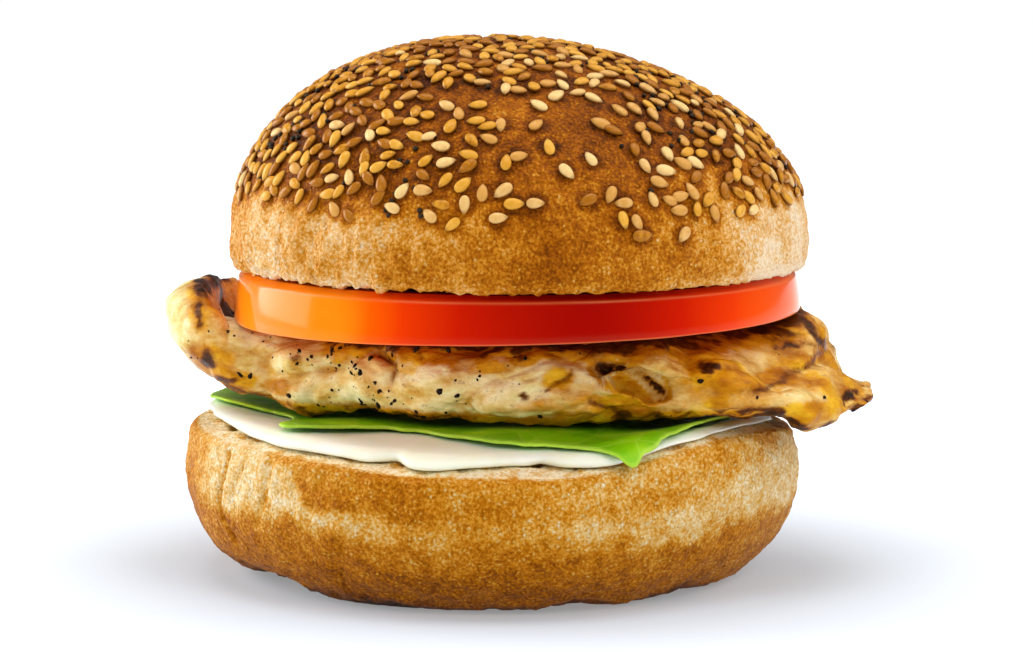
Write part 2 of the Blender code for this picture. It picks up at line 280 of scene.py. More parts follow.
# %% Soft boxes
# Places and sizes in metres, power in watts.
SOFT_BOXES = {
    "left_box": {"place": (-0.58, 0.17, 0.24), "size": (0.46, 0.42), "watts": 3.2},
    "right_box": {"place": (0.52, 0.02, 0.55), "size": (0.60, 0.50), "watts": 1.8},
    "top_box": {"place": (0.0, 0.0, 0.85), "size": (0.72, 0.62), "watts": 4.4},
    "front_left_box": {"place": (-0.52, -0.66, 0.56), "size": (0.45, 0.40), "watts": 1.7},
    "front_right_box": {"place": (0.56, -0.62, 0.56), "size": (0.45, 0.40), "watts": 2.2},
}
AIM = Vector((0.0, 0.0, 0.045))
for box_name, box in SOFT_BOXES.items():
    light = bpy.data.lights.new(box_name, "AREA")
    light.shape = "RECTANGLE"
    light.size, light.size_y = box["size"]
    light.energy = box["watts"]
    lamp = bpy.data.objects.new(box_name, light)
    lamp.location = box["place"]
    lamp.rotation_euler = (lamp.location - AIM).to_track_quat("Z", "Y").to_euler()
    bpy.context.scene.collection.objects.link(lamp)

# %% Studio walls
# Pale grey walls, which fill the shadows softly from every side.
STUDIO_GLOW = 0.22
studio = bpy.data.worlds.new("studio")
bpy.context.scene.world = studio
studio.use_nodes = True
studio.node_tree.nodes["Background"].inputs["Color"].default_value = shade("ffffff")
studio.node_tree.nodes["Background"].inputs["Strength"].default_value = STUDIO_GLOW
bpy.context.scene.view_settings.view_transform = "Standard"
print("soft boxes:", len(SOFT_BOXES))

# %% [markdown]
# ## Bread crust
#
# A burger bun's crust is dough that dried and browned. Where it browned most it is ochre to
# dark brown, and where it touched its neighbour in the tin it stays cream. The skin is
# covered with tiny lighter blisters and finer grit between them, which give it a sandy look.
# How much each spot was baked is stored on the mesh, with painted shade added in the heel's creases and round
# the crown's seeds, and a ramp turns it into colour.

# %% Crust finish
# Dry baked dough with a trace of fat, matt with a warm sheen. Real blisters are about half a
# millimetre across and the grit 0.2 mm. Both are too fine to show, so they are drawn coarser.
BLISTER_MM = 0.75
GRIT_MM = 0.5
MOTTLE_MM = 2.6
# How far each pattern moves the bake, which is 0 where the crust is palest and 1 where burnt.
BLISTER_SHIFT = -0.19
MOTTLE_SHIFT = (-0.10, 0.17)
GRIT_SHIFT = (0.14, -0.10)
CRUST_RELIEF_MM = 0.30


def baked_crust(name, stops, roughness):
    """Matt baked crust: a ramp over the stored bake and painted shade, paler on each blister, with fine
    relief.
    """
    made, tree, shader = finish(
        name, Roughness=roughness, IOR=1.45, Specular_IOR_Level=0.18, Specular_Tint=shade("ffb870"),
    )
    stored_bake_and_shade = add(tree, "ShaderNodeAttribute", attribute_name="bake").outputs["Fac"]
    stored_speck = add(tree, "ShaderNodeAttribute", attribute_name="speck").outputs["Fac"]
    place = add(tree, "ShaderNodeTexCoord").outputs["Object"]
    mottle = add(tree, "ShaderNodeTexNoise", {
        "Vector": place, "Scale": 1.0 / (MOTTLE_MM * MM), "Detail": 6.0, "Roughness": 0.72,
    }).outputs["Fac"]
    blisters = add(tree, "ShaderNodeTexVoronoi", {"Vector": place, "Scale": 1.0 / (BLISTER_MM * MM)})
    grit = add(tree, "ShaderNodeTexNoise", {
        "Vector": place, "Scale": 1.0 / (GRIT_MM * MM), "Detail": 2.0, "Roughness": 0.6,
    }).outputs["Fac"]
    own_number = add(tree, "ShaderNodeSeparateColor", {"Color": blisters.outputs["Color"]}).outputs["Red"]
    round_top = add(tree, "ShaderNodeMapRange", {
        "Value": blisters.outputs["Distance"], "From Min": 0.55, "From Max": 0.20,
    }, interpolation_type="SMOOTHSTEP")
    raised = add(tree, "ShaderNodeMapRange", {"Value": own_number, "From Min": 0.2, "From Max": 1.0})
    blister = add(tree, "ShaderNodeMath", {
        0: round_top.outputs["Result"], 1: raised.outputs["Result"],
    }, operation="MULTIPLY").outputs["Value"]
    paler = add(tree, "ShaderNodeMath", {0: blister, 1: stored_speck}, operation="MULTIPLY")
    spread = add(tree, "ShaderNodeMapRange", {
        "Value": mottle, "From Min": 0.3, "From Max": 0.7,
        "To Min": MOTTLE_SHIFT[0], "To Max": MOTTLE_SHIFT[1],
    })
    gritty = add(tree, "ShaderNodeMapRange", {
        "Value": grit, "From Min": 0.35, "From Max": 0.65, "To Min": GRIT_SHIFT[0], "To Max": GRIT_SHIFT[1],
    })
    bake = add(tree, "ShaderNodeMath", {0: stored_bake_and_shade, 1: spread.outputs["Result"]}, operation="ADD")
    bake = add(tree, "ShaderNodeMath", {
        0: gritty.outputs["Result"], 1: bake.outputs["Value"],
    }, operation="ADD")
    bake = add(tree, "ShaderNodeMath", {
        0: paler.outputs["Value"], 1: BLISTER_SHIFT, 2: bake.outputs["Value"],
    }, operation="MULTIPLY_ADD")
    colour = add(tree, "ShaderNodeValToRGB", {"Fac": bake.outputs["Value"]}, stops=stops)
    tree.links.new(colour.outputs["Color"], shader.inputs["Base Color"])
    rough = add(tree, "ShaderNodeMath", {0: mottle, 1: 2.0, 2: blister}, operation="MULTIPLY_ADD")
    rough = add(tree, "ShaderNodeMath", {
        0: grit, 1: 1.2, 2: rough.outputs["Value"],
    }, operation="MULTIPLY_ADD")
    bump = add(tree, "ShaderNodeBump", {
        "Height": rough.outputs["Value"], "Strength": 0.9, "Distance": CRUST_RELIEF_MM * MM,
    })
    tree.links.new(bump.outputs["Normal"], shader.inputs["Normal"])
    return made


crown_crust_finish = baked_crust(
    "bread_crust_seeded",
    [(0.0, "f4dcb8"), (0.2, "e4b068"), (0.36, "d08820"), (0.52, "ab5e06"), (0.72, "7c3c02"), (1.0, "371602")],
    roughness=0.5,
)
heel_crust_finish = baked_crust(
    "bread_crust_heel",
    [(0.0, "fbecc8"), (0.2, "e8c078"), (0.36, "d8962c"), (0.52, "bc6e06"), (0.72, "864602"), (1.0, "3a1802")],
    roughness=0.55,
)
print("crust blisters", BLISTER_MM, "mm")

# %% [markdown]
# ## Bun heel
#
# The heel is turned like a bowl: a formula gives its radius at each height. Its cut face
# swells inside the rim, where soft crumb springs back after the knife, and the rim is cut
# askew: low at the front and high at the front right. Creases on the flanks are narrow
# grooves, placed by angle and height.

# %% Heel sizes
HEEL_BASE_RADIUS = 38.6
HEEL_RADIUS = 50.4
HEEL_WIDEST_HEIGHT = 16.0
HEEL_CUT_RADIUS = 49.3
HEEL_RIM_HEIGHT = 23.3
HEEL_CRUMB_SWELL = 0.7
HEEL_EDGE_ROLL = 1.0
# The rim's tilt grows and the crumb's swell fades between these distances from the middle.
HEEL_TILT_REACH = (34.0, 47.5)
HEEL_SWELL_REACH = (49.0, 44.5)
HEEL_RIM = (
    (180, 24.6), (205, 24.5), (229, 24.0), (241, 23.3), (252, 22.5), (268, 22.4),
    (283, 22.1), (291, 22.8), (301, 24.3), (313, 25.6), (325, 26.1), (342, 25.0),
    (0, 23.5), (45, 23.2), (90, 23.4), (135, 24.0),
)


def heel_cut(x, y):
    """Height of the cut face: the crumb lies level inside, swells a little and meets the rim."""
    reach = np.hypot(x, y)
    toward_rim = smooth(*HEEL_TILT_REACH, reach)
    rim = round_outline(np.arctan2(y, x), HEEL_RIM)
    swell = HEEL_CRUMB_SWELL * smooth(*HEEL_SWELL_REACH, reach)
    return HEEL_RIM_HEIGHT + (rim - HEEL_RIM_HEIGHT) * toward_rim + swell


def heel_radius(share):
    """Radius at a share of the heel's own height."""
    widest = HEEL_WIDEST_HEIGHT / HEEL_RIM_HEIGHT
    below = 1.0 - (1.0 - np.minimum(share / widest, 1.0)) ** 2.0
    low = HEEL_BASE_RADIUS + (HEEL_RADIUS - HEEL_BASE_RADIUS) * below ** (1.0 / 1.5)
    above = np.clip((share - widest) / (1.0 - widest), 0.0, 1.0)
    rolled = np.clip((share - 0.94) / 0.06, 0.0, 1.0)
    roll_in = HEEL_EDGE_ROLL * (1.0 - np.sqrt(1.0 - rolled**2))
    return low - (HEEL_RADIUS - HEEL_CUT_RADIUS) * above**2 - roll_in


print("heel rim at the right", round(float(heel_cut(HEEL_CUT_RADIUS, 0.0)), 1), "mm")

# %% Heel creases and dents
# Each crease is (degrees, lowest and highest mm, depth in mm, half width in mm).
HEEL_CREASES = (
    (212.0, 8.0, 24.0, 1.0, 0.55),
    (217.5, 15.0, 24.0, 0.5, 0.5),
    (225.0, 13.0, 23.0, 0.5, 0.6),
    (241.5, 3.0, 13.0, 0.45, 0.6),
    (254.0, 15.0, 23.5, 0.35, 0.5),
    (150.0, 6.0, 20.0, 0.6, 0.7),
    (68.0, 11.0, 24.0, 0.5, 0.6),
    (12.0, 10.0, 22.0, 0.5, 0.6),
)
# Places where the base's edge stands off the table: (degrees, half width in degrees, lift in mm).
BASE_LIFTS = (
    (205.0, 7.0, 1.3), (217.0, 8.0, 1.5), (289.0, 4.0, 0.7), (318.0, 6.0, 0.5), (95.0, 9.0, 1.2),
    (20.0, 8.0, 0.9),
)
# Scorched spots on the base's edge: (degrees, half width in degrees, strength).
BASE_BURNS = (
    (224.0, 3.5, 0.5), (244.0, 6.0, 0.25), (314.0, 3.0, 0.4), (120.0, 6.0, 0.4), (30.0, 5.0, 0.3),
)
HEEL_RELIEF_MM = {
    "swells": 0.40, "lumps": 0.26, "wrinkles": 0.34, "ragged_base": 0.5, "crumb": 0.40, "holes": 0.7,
}


def degrees_apart(turn, at):
    return (np.degrees(turn) - at + 180.0) % 360.0 - 180.0


def heel_push(turn, height, x, y):
    """Relief of the heel's side in mm."""
    push = HEEL_RELIEF_MM["swells"] * uneven(x, y, height, 9.0, 4.2)
    push = push + HEEL_RELIEF_MM["lumps"] * uneven(x, y, height, 2.4, 1.1, octaves=4)
    wrinkles = uneven(x, y, height / 4.0, 1.8, 8.3, octaves=3)
    push = push + HEEL_RELIEF_MM["wrinkles"] * wrinkles * smooth(11.0, 17.0, height)
    for at, low, high, depth, half_width in HEEL_CREASES:
        wander = 1.2 * np.sin(height / 2.3 + at)
        away = np.radians(degrees_apart(turn, at + wander)) * HEEL_RADIUS
        inside = smooth(low - 1.5, low + 1.5, height) * smooth(high + 1.5, high - 1.5, height)
        push = push - depth * hill(away, half_width) * inside
    ragged = uneven(x, y, height, 3.2, 2.7, octaves=3)
    return push + HEEL_RELIEF_MM["ragged_base"] * ragged * smooth(4.5, 0.8, height)


def base_lift(turn, height, x, y):
    """How far the base's edge stands off the table, in mm."""
    lift = np.zeros_like(height)
    for at, half_width, rise in BASE_LIFTS:
        lift = lift + rise * hill(degrees_apart(turn, at), half_width)
    lift = lift + 0.25 * smooth(0.0, 0.5, uneven(x, y, 0.0 * height, 3.4, 4.9, octaves=2))
    near_edge = smooth(0.84, 0.97, np.hypot(x, y) / HEEL_BASE_RADIUS)
    return lift * near_edge * smooth(6.5, 0.0, height)


# %% Heel rings
HEEL_SIDES = 520
HEEL_TOP_SHARE = 0.992


def heel_rings():
    """Underside, side and cut face. Returns the rings, their turns and the first ring of crumb."""
    turn = turns(HEEL_SIDES)
    cos, sin = np.cos(turn), np.sin(turn)
    rim = heel_cut(HEEL_CUT_RADIUS * cos, HEEL_CUT_RADIUS * sin)
    rings = []
    for part in (0.3, 0.6, 0.8, 0.9, 0.96):
        radius = part * HEEL_BASE_RADIUS
        rings.append(np.stack([radius * cos, radius * sin, np.zeros_like(cos)], axis=-1))
    for step in np.linspace(1.0, 0.0, 100):
        share = HEEL_TOP_SHARE * (1.0 - step**1.15)
        radius = heel_radius(share)
        rings.append(np.stack([radius * cos, radius * sin, rim * share], axis=-1))
    first_crumb = len(rings)
    for part in (*np.linspace(0.974, 0.62, 46), 0.5, 0.3, 0.12):
        x, y = part * HEEL_CUT_RADIUS * cos, part * HEEL_CUT_RADIUS * sin
        rings.append(np.stack([x, y, heel_cut(x, y)], axis=-1))
    return np.array(rings), np.repeat(turn[None, :], len(rings), axis=0), first_crumb


heel, heel_turn, first_crumb = heel_rings()
ring_number = np.arange(len(heel))[:, None]
heel_x, heel_y, heel_z = heel[..., 0], heel[..., 1], heel[..., 2]
side_push = heel_push(heel_turn, heel_z, heel_x, heel_y) * smooth(0.0, 0.9, heel_z)
crumb_push = HEEL_RELIEF_MM["crumb"] * uneven(heel_x, heel_y, heel_z, 1.9, 2.2, octaves=3)
crumb_push -= HEEL_RELIEF_MM["holes"] * smooth(0.25, 0.55, uneven(heel_x, heel_y, heel_z, 3.1, 5.2))
heel_relief = np.where(ring_number >= first_crumb, crumb_push, side_push)
# The relief fades out at the rim, so that crust and crumb meet in a clean edge.
rings_from_rim = np.abs(ring_number - first_crumb + 0.5)
heel_relief = heel_relief * (0.2 + 0.8 * smooth(0.5, 5.5, rings_from_rim))
heel = relief(heel, heel_relief)
heel[..., 2] += base_lift(heel_turn, heel_z, heel_x, heel_y)
heel[..., 2] = np.maximum(heel[..., 2], 0.0)
print("heel", heel.shape)

# %% [markdown]
# The pale band at mid height is where this bun touched the next one in the tin, so it never
# browned. Its height and width change round the bun, so both are outlines through a few
# angles, and noise breaks its edges.

# %% Heel bake
# Middle height, half width and strength of the band, each as (degrees, mm or share).
BAND_HEIGHT = (
    (198, 22.0), (212, 21.0), (226, 19.5), (236, 15.5), (248, 14.3), (262, 14.0), (280, 14.0),
    (300, 13.8), (312, 15.0), (325, 17.5), (345, 18.0), (0, 17.0), (30, 15.5), (75, 15.0),
    (120, 15.5), (160, 17.0), (180, 21.0),
)
BAND_HALF = (
    (198, 7.0), (212, 6.8), (226, 5.0), (236, 2.2), (248, 1.6), (262, 1.6), (280, 1.8), (300, 2.6),
    (312, 3.4), (325, 4.6), (345, 6.0), (0, 4.6), (30, 2.8), (75, 1.6), (120, 1.8), (160, 3.5),
    (180, 5.5),
)
BAND_STRENGTH = (
    (186, 0.15), (197, 0.2), (204, 0.6), (210, 1.0), (232, 1.0), (243, 0.85), (257, 0.42),
    (283, 0.45), (292, 0.6), (302, 0.8), (318, 0.8), (335, 1.0), (355, 0.95), (45, 0.7), (90, 0.6),
    (135, 0.8), (170, 0.6),
)
# How baked the crust is, and how much each part of it is darker or lighter than that. The crease entry is
# painted shade, darker where the relief sinks into creases and dents.
HEEL_BAKE_AND_SHADE = {
    "plain": 0.47, "mottle": 0.12, "lower_half": 0.12, "base": 0.25, "low_right": -0.07,
    "near_rim": -0.05, "upper_right": -0.13, "band": 0.13, "crease_painted_shade": 0.30,
}
rough_edge = 2.4 * uneven(heel_x, heel_y, heel_z, 4.6, 6.1, octaves=5)
from_band = np.abs(heel_z - round_outline(heel_turn, BAND_HEIGHT)) + rough_edge
band_half = round_outline(heel_turn, BAND_HALF)
pale = 1.0 - smooth(band_half - 2.4, band_half + 1.8, from_band)
pale = pale * round_outline(heel_turn, BAND_STRENGTH)
bake = HEEL_BAKE_AND_SHADE["plain"] + HEEL_BAKE_AND_SHADE["mottle"] * uneven(heel_x, heel_y, heel_z, 11.0, 3.3, octaves=3)
bake += HEEL_BAKE_AND_SHADE["lower_half"] * smooth(12.0, 4.0, heel_z) + HEEL_BAKE_AND_SHADE["base"] * smooth(1.3, 0.4, heel_z)
low_right = hill(degrees_apart(heel_turn, 322.0), 22.0) * smooth(12.0, 8.0, heel_z)
upper_right = hill(degrees_apart(heel_turn, 312.0), 26.0) * smooth(11.0, 15.0, heel_z)
bake += HEEL_BAKE_AND_SHADE["low_right"] * low_right + HEEL_BAKE_AND_SHADE["upper_right"] * upper_right
bake += HEEL_BAKE_AND_SHADE["near_rim"] * smooth(17.0, 22.0, heel_z)
for at, half_width, strength in BASE_BURNS:
    burnt_low = smooth(2.8, 1.0, heel_z + 0.8 * uneven(heel_x, heel_y, heel_z, 2.0, 8.1))
    bake = bake + strength * hill(degrees_apart(heel_turn, at), half_width) * burnt_low
bake = bake * (1.0 - pale) + HEEL_BAKE_AND_SHADE["band"] * pale
# Painted shade: the crust is darker where the relief sinks into creases and dents.
bake += HEEL_BAKE_AND_SHADE["crease_painted_shade"] * smooth(-0.45, -1.1, heel_relief)
crumb_bake = 0.02 + 0.25 * smooth(0.1, 0.6, uneven(heel_x, heel_y, heel_z, 2.4, 7.9, octaves=2))
heel_bake_and_shade = np.where(ring_number >= first_crumb, crumb_bake, bake)
heel_speck = np.where(ring_number >= first_crumb, 0.3, 1.0 - 0.4 * pale)
heel_piece = piece_from_rings(
    "heel_crust", heel, heel_crust_finish, bake=heel_bake_and_shade, speck=heel_speck,
)
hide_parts("bun_heel")
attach(heel_piece, "root")

# %% [markdown]
# ## Mayonnaise
#
# Mayonnaise is an emulsion: light goes in, scatters and comes out again, so it looks soft and
# bright, with a wet gloss. It holds its shape, so the spread has a rounded edge.

# %% Slab rings
def slab(turn, centre, outline, under, top, path):
    """Rings of a slab between two height functions. path lists (part of radius, level)."""
    share = np.array([part for part, _ in path])[:, None]
    level = np.array([level for _, level in path])[:, None]
    reach = share * outline(turn, level)
    x = centre[0] + reach * np.cos(turn)
    y = centre[1] + reach * np.sin(turn)
    low, high = under(x, y), top(x, y)
    return np.stack([x, y, low + (high - low) * level], axis=-1)


def slab_path(inner, rim_start, inner_steps, rim_steps, blunt):
    """(part, level) pairs: along the underside, round the edge, and back along the top."""
    flat = np.linspace(inner, rim_start, inner_steps, endpoint=False)
    depth = 1.0 - rim_start
    quarter = np.pi * np.arange(0, rim_steps + 1) / rim_steps
    level = 0.5 - 0.5 * np.sign(np.cos(quarter)) * np.abs(np.cos(quarter)) ** blunt
    edge = 1.0 - depth * (1.0 - np.abs(np.sin(quarter)) ** blunt)
    path = [(part, 0.0) for part in flat]
    path += list(zip(edge, level))
    path += [(part, 1.0) for part in flat[::-1]]
    return path


# %% Mayonnaise form
GAP = 0.3
SAUCE_THICKNESS = 1.9
SAUCE_THINNING = 1.2
SAUCE_RIPPLE_MM = 0.10
SAUCE_OUTLINE = (
    (163, 48.0), (187, 46.0), (206, 45.5), (225, 47.5), (241, 46.8), (258, 47.8),
    (268, 46.0), (277, 44.5), (286, 46.5), (293, 48.3), (302, 47.5), (318, 47.0),
    (345, 46.0), (20, 46.5), (55, 45.0), (90, 46.5), (125, 45.0),
)


def sauce_outline(turn, level=0.0):
    """The same radius at every level, with two bays at the front where crumb shows."""
    wobble = 0.5 * uneven(9.0 * np.cos(turn), 9.0 * np.sin(turn), 0.0, 1.3, 5.5)
    bays = 3.2 * hill(degrees_apart(turn, 250.5), 2.2) + 1.6 * hill(degrees_apart(turn, 280.7), 1.6)
    return round_outline(turn, SAUCE_OUTLINE) + wobble - bays


def sauce_top(x, y):
    """The sauce is pressed thinner on the right."""
    thickness = SAUCE_THICKNESS - SAUCE_THINNING * smooth(10.0, 40.0, x)
    thickness = thickness + 0.25 * uneven(x, y, 0.0, 14.0, 3.1)
    return heel_cut(x, y) + GAP + thickness


sauce = slab(
    turns(300), (0.0, 0.0), sauce_outline, lambda x, y: heel_cut(x, y) + 0.05, sauce_top,
    slab_path(0.2, 0.93, 24, 26, 0.9),
)
sauce = relief(sauce, SAUCE_RIPPLE_MM * uneven(sauce[..., 0], sauce[..., 1], sauce[..., 2], 5.0, 7.7))

# %% Mayonnaise finish
# An egg and oil emulsion: IOR near that of oil and water, almost smooth, cream white. Its
# tone drifts in swirls about 6 mm wide, which the knife left.
SWIRL_MM = 6.0
mayonnaise_finish, tree, shader = finish(
    "mayonnaise_emulsion", Base_Color=shade("f6faea"), Roughness=0.28, IOR=1.40,
    Subsurface_Weight=0.5, Subsurface_Radius=(1.0, 0.85, 0.6), Subsurface_Scale=1.6 * MM,
)
place = add(tree, "ShaderNodeTexCoord").outputs["Object"]
swirl = add(tree, "ShaderNodeTexNoise", {"Vector": place, "Scale": 1.0 / (SWIRL_MM * MM), "Detail": 2.0})
cream = add(tree, "ShaderNodeValToRGB", {"Fac": swirl.outputs["Fac"]}, [(0.35, "f3fade"), (0.65, "fcffec")])
tree.links.new(cream.outputs["Color"], shader.inputs["Base Color"])
ripple = add(tree, "ShaderNodeBump", {"Height": swirl.outputs["Fac"], "Strength": 0.25, "Distance": 0.5 * MM})
tree.links.new(ripple.outputs["Normal"], shader.inputs["Normal"])
sauce_piece = piece_from_rings("mayonnaise_spread", sauce, mayonnaise_finish)
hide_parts("mayonnaise")
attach(sauce_piece, "root")

# %% [markdown]
# ## Lettuce
#
# The leaf is half a millimetre thick, so light comes through it, and a yellow green glow is painted along its
# torn edge. It lies on the sauce in shallow waves, shows a lobe at the left, and its tip
# hangs over the heel's rim.

# %% Lettuce form
LEAF_THICKNESS = 0.55
LEAF_WAVE = 0.5
LEAF_SAG = 2.6
LEAF_TIP_SAG = 1.2
LEAF_OUTLINE = (
    (150, 45.0), (171, 47.3), (186, 44.5), (193, 39.5), (202, 36.0), (210, 36.5),
    (218, 41.0), (225, 45.5), (229, 42.0), (233, 36.5), (241, 33.0), (252, 33.0),
    (260, 36.0), (267, 39.3), (276, 42.0), (285, 43.0), (291, 46.8), (295.0, 51.2),
    (299, 49.6), (306, 47.4), (318, 45.0), (335, 42.6), (5, 41.5), (35, 46.5),
    (62, 43.5), (92, 47.5), (122, 44.0),
)


def leaf_outline(turn, level=0.0):
    """The same radius at every level, with a torn edge."""
    wobble = 0.7 * uneven(12.0 * np.cos(turn), 12.0 * np.sin(turn), 0.0, 0.9, 8.8, octaves=3)
    return round_outline(turn, LEAF_OUTLINE) + wobble


def leaf_under(x, y):
    """The leaf lies on the sauce in shallow waves and sags where it passes the rim."""
    reach = np.hypot(x, y)
    wave = LEAF_WAVE * (0.5 + 0.5 * np.sin(x / 5.2 + 1.4 * np.sin(y / 9.0)))
    wave = wave * smooth(12.0, 34.0, reach)
    past_rim = reach - round_outline(np.arctan2(y, x), SAUCE_OUTLINE)
    sag = LEAF_SAG * smooth(0.2, 4.0, past_rim) + LEAF_TIP_SAG * smooth(2.4, 5.0, past_rim)
    return sauce_top(x, y) + GAP + wave - sag


leaf = slab(
    turns(420), (0.0, 0.0), leaf_outline, leaf_under,
    lambda x, y: leaf_under(x, y) + LEAF_THICKNESS, slab_path(0.1, 0.99, 34, 6, 1.0),
)
leaf_reach = np.hypot(leaf[..., 0], leaf[..., 1])
leaf_edge = leaf_outline(np.arctan2(leaf[..., 1], leaf[..., 0])) - leaf_reach
# Painted glow along the torn edge, standing in for light through the thin leaf.
leaf_edge_glow = 0.6 * smooth(0.7, 0.0, leaf_edge)

# %% Lettuce finish
# A butterhead leaf: waxy skin over wet green cells, with fine pale veins about 6 mm apart.
lettuce_finish, tree, shader = finish(
    "lettuce_leaf_waxy", Roughness=0.34, IOR=1.42, Specular_IOR_Level=0.25, Specular_Tint=shade("e8ffb0"),
    Subsurface_Weight=0.35, Subsurface_Radius=(0.5, 1.0, 0.15), Subsurface_Scale=1.2 * MM,
)
VEIN_MM = 6.0
LEAF_PATCH_MM = 9.0
place = add(tree, "ShaderNodeTexCoord").outputs["Object"]
veins = add(tree, "ShaderNodeTexVoronoi", {
    "Vector": place, "Scale": 1.0 / (VEIN_MM * MM),
}, feature="DISTANCE_TO_EDGE")
tint = add(tree, "ShaderNodeTexNoise", {
    "Vector": place, "Scale": 1.0 / (LEAF_PATCH_MM * MM), "Detail": 3.0,
})
green = add(
    tree, "ShaderNodeValToRGB", {"Fac": tint.outputs["Fac"]},
    stops=[(0.3, "4f9602"), (0.5, "78be06"), (0.7, "a6d81a")],
)
vein_line = add(tree, "ShaderNodeMapRange", {
    "Value": veins.outputs["Distance"], "From Min": 0.0, "From Max": 0.05, "To Min": 0.35, "To Max": 0.0,
})
veined = add(tree, "ShaderNodeMix", {
    "Factor": vein_line.outputs["Result"], 6: green.outputs["Color"], 7: shade("b4da50"),
}, data_type="RGBA")
# Mixes the painted edge glow into the green.
stored_edge_glow = add(tree, "ShaderNodeAttribute", attribute_name="rim").outputs["Fac"]
edged = add(tree, "ShaderNodeMix", {
    "Factor": stored_edge_glow, 6: veined.outputs[2], 7: shade("c3dc52"),
}, data_type="RGBA")
tree.links.new(edged.outputs[2], shader.inputs["Base Color"])
quilt = add(tree, "ShaderNodeBump", {
    "Height": veins.outputs["Distance"], "Strength": 0.5, "Distance": 0.6 * MM,
})
tree.links.new(quilt.outputs["Normal"], shader.inputs["Normal"])
leaf_piece = piece_from_rings("lettuce", leaf, lettuce_finish, rim=leaf_edge_glow)
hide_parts("lettuce_leaf")
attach(leaf_piece, "root")

# %% [markdown]
# ## Grilled chicken fillet
#
# A breast fillet is long muscle fibre. Grilling shrinks it into soft lumps, curls the thin
# ends and tears the grain open in places. The form is the same slab with a round edge as the
# plain solid, with lumps and drawn-out fibre relief pushed out of it.

# %% Fillet form
FILLET_CENTRE = (3.0, 0.0)
FILLET_CURL_LEFT = 7.2
FILLET_DROOP_RIGHT = 11.0
FILLET_SAG_RIGHT = 3.2
FILLET_TIP_LIFT = 4.0
FILLET_TEAR_TURN = math.radians(301.0)
FILLET_TEAR_DEPTH = 2.6
FILLET_LUMP_HEIGHT = 1.1
FILLET_OUTLINE = (
    (176, 57.5), (190, 54.0), (205, 43.5), (222, 36.5), (240, 35.5), (256, 35.5), (272, 36.0),
    (290, 38.5), (306, 43.5), (320, 51.0), (334, 58.0), (350, 59.5), (5, 56.5), (22, 49.5),
    (45, 41.5), (68, 36.5), (92, 34.5), (118, 37.5), (142, 45.0), (162, 54.5),
)
TOMATO_CENTRE_X = 3.9
TOMATO_RADIUS = 46.1
TOMATO_UNDER_HEIGHT = 42.3
TOMATO_UNDER_SLOPE = 0.0195
TOMATO_TOP_HEIGHT = 49.7


def tomato_under(x):
    return TOMATO_UNDER_HEIGHT + TOMATO_UNDER_SLOPE * (x - TOMATO_CENTRE_X)


def fillet_top(x, y):
    """Pressed flat by the tomato, curling up past it on the left and drooping on the right."""
    across = np.hypot(x - TOMATO_CENTRE_X, y)
    pressed = tomato_under(x) - GAP - 0.9 * (0.5 + 0.5 * uneven(x, y, 0.0, 9.0, 5.7))
    left = smooth(48.1, 51.8, across) * smooth(-30.0, -42.0, x) * FILLET_CURL_LEFT
    right = smooth(49.5, 61.5, x) * FILLET_DROOP_RIGHT
    front = 2.0 * smooth(32.0, 46.0, across) * smooth(-5.0, -30.0, y)
    right_front = 6.0 * smooth(24.0, 50.0, x) * smooth(-8.0, -34.0, y)
    return pressed + left - right - front - right_front


def fillet_under(x, y):
    """Lies on the leaf, sags past the bun on the right and curls up at both ends."""
    left = 1.3 * smooth(-30.0, -46.0, x) + 4.5 * smooth(-44.0, -55.0, x)
    right = FILLET_SAG_RIGHT * smooth(44.5, 50.0, x) - FILLET_TIP_LIFT * smooth(52.0, 63.0, x)
    hollow = 1.1 * (0.5 + 0.5 * uneven(x, y, 0.0, 11.0, 8.3))
    inward = np.minimum(1.0, 44.0 / np.maximum(1.0, np.hypot(x, y)))
    rest = sauce_top(x * inward, y * inward) + 2.0 * GAP + LEAF_WAVE + LEAF_THICKNESS
    return rest + left - right + hollow


def fillet_outline(turn, level=0.0):
    across_tear = (turn - FILLET_TEAR_TURN) / 0.13
    up_tear = (level - 0.42) / 0.2
    tear = FILLET_TEAR_DEPTH * np.exp(-across_tear**2 - up_tear**2)
    lump = uneven(6.0 * np.cos(turn), 6.0 * np.sin(turn), 2.0 * level, 1.3, 2.6)
    return round_outline(turn, FILLET_OUTLINE) - tear - FILLET_LUMP_HEIGHT * lump * np.sin(np.pi * level)


fillet = slab(
    turns(640), FILLET_CENTRE, fillet_outline, fillet_under, fillet_top,
    slab_path(0.5, 0.80, 14, 90, 0.8),
)
print("fillet", fillet.shape)

# %% Folds and the tear
# Folds and grill grooves on the front, as (x, z) of both ends, depth and half width in mm.
FILLET_CREASES = (
    (-18.5, 39.5, -15.5, 37.6, 1.6, 0.6), (-15.5, 37.6, -16.0, 34.5, 1.4, 0.6),
    (-38.5, 41.0, -36.0, 33.0, 0.9, 1.6), (-27.0, 40.0, -27.5, 33.0, 0.7, 2.4),
    (-3.0, 41.0, -5.5, 30.0, 0.9, 2.2), (4.5, 32.5, 11.0, 35.6, 1.1, 0.7),
    (12.0, 40.0, 13.5, 35.0, 0.9, 1.6), (29.5, 39.5, 33.0, 33.0, 1.0, 1.8),
    (40.5, 33.0, 54.0, 37.2, 1.0, 0.8), (41.0, 41.2, 47.0, 40.2, 0.9, 0.7),
    (44.5, 39.0, 53.5, 38.0, 0.7, 0.8), (16.0, 32.5, 20.0, 29.3, 0.9, 0.8),
)
# Strings of meat that bridge the torn hollow, in the same form with a height for the depth.
FILLET_STRINGS = (
    (18.0, 36.0, 25.5, 33.0, 1.6, 0.40), (19.0, 37.6, 26.0, 34.4, 1.8, 0.40),
    (17.0, 34.4, 23.5, 32.0, 1.4, 0.40),
)
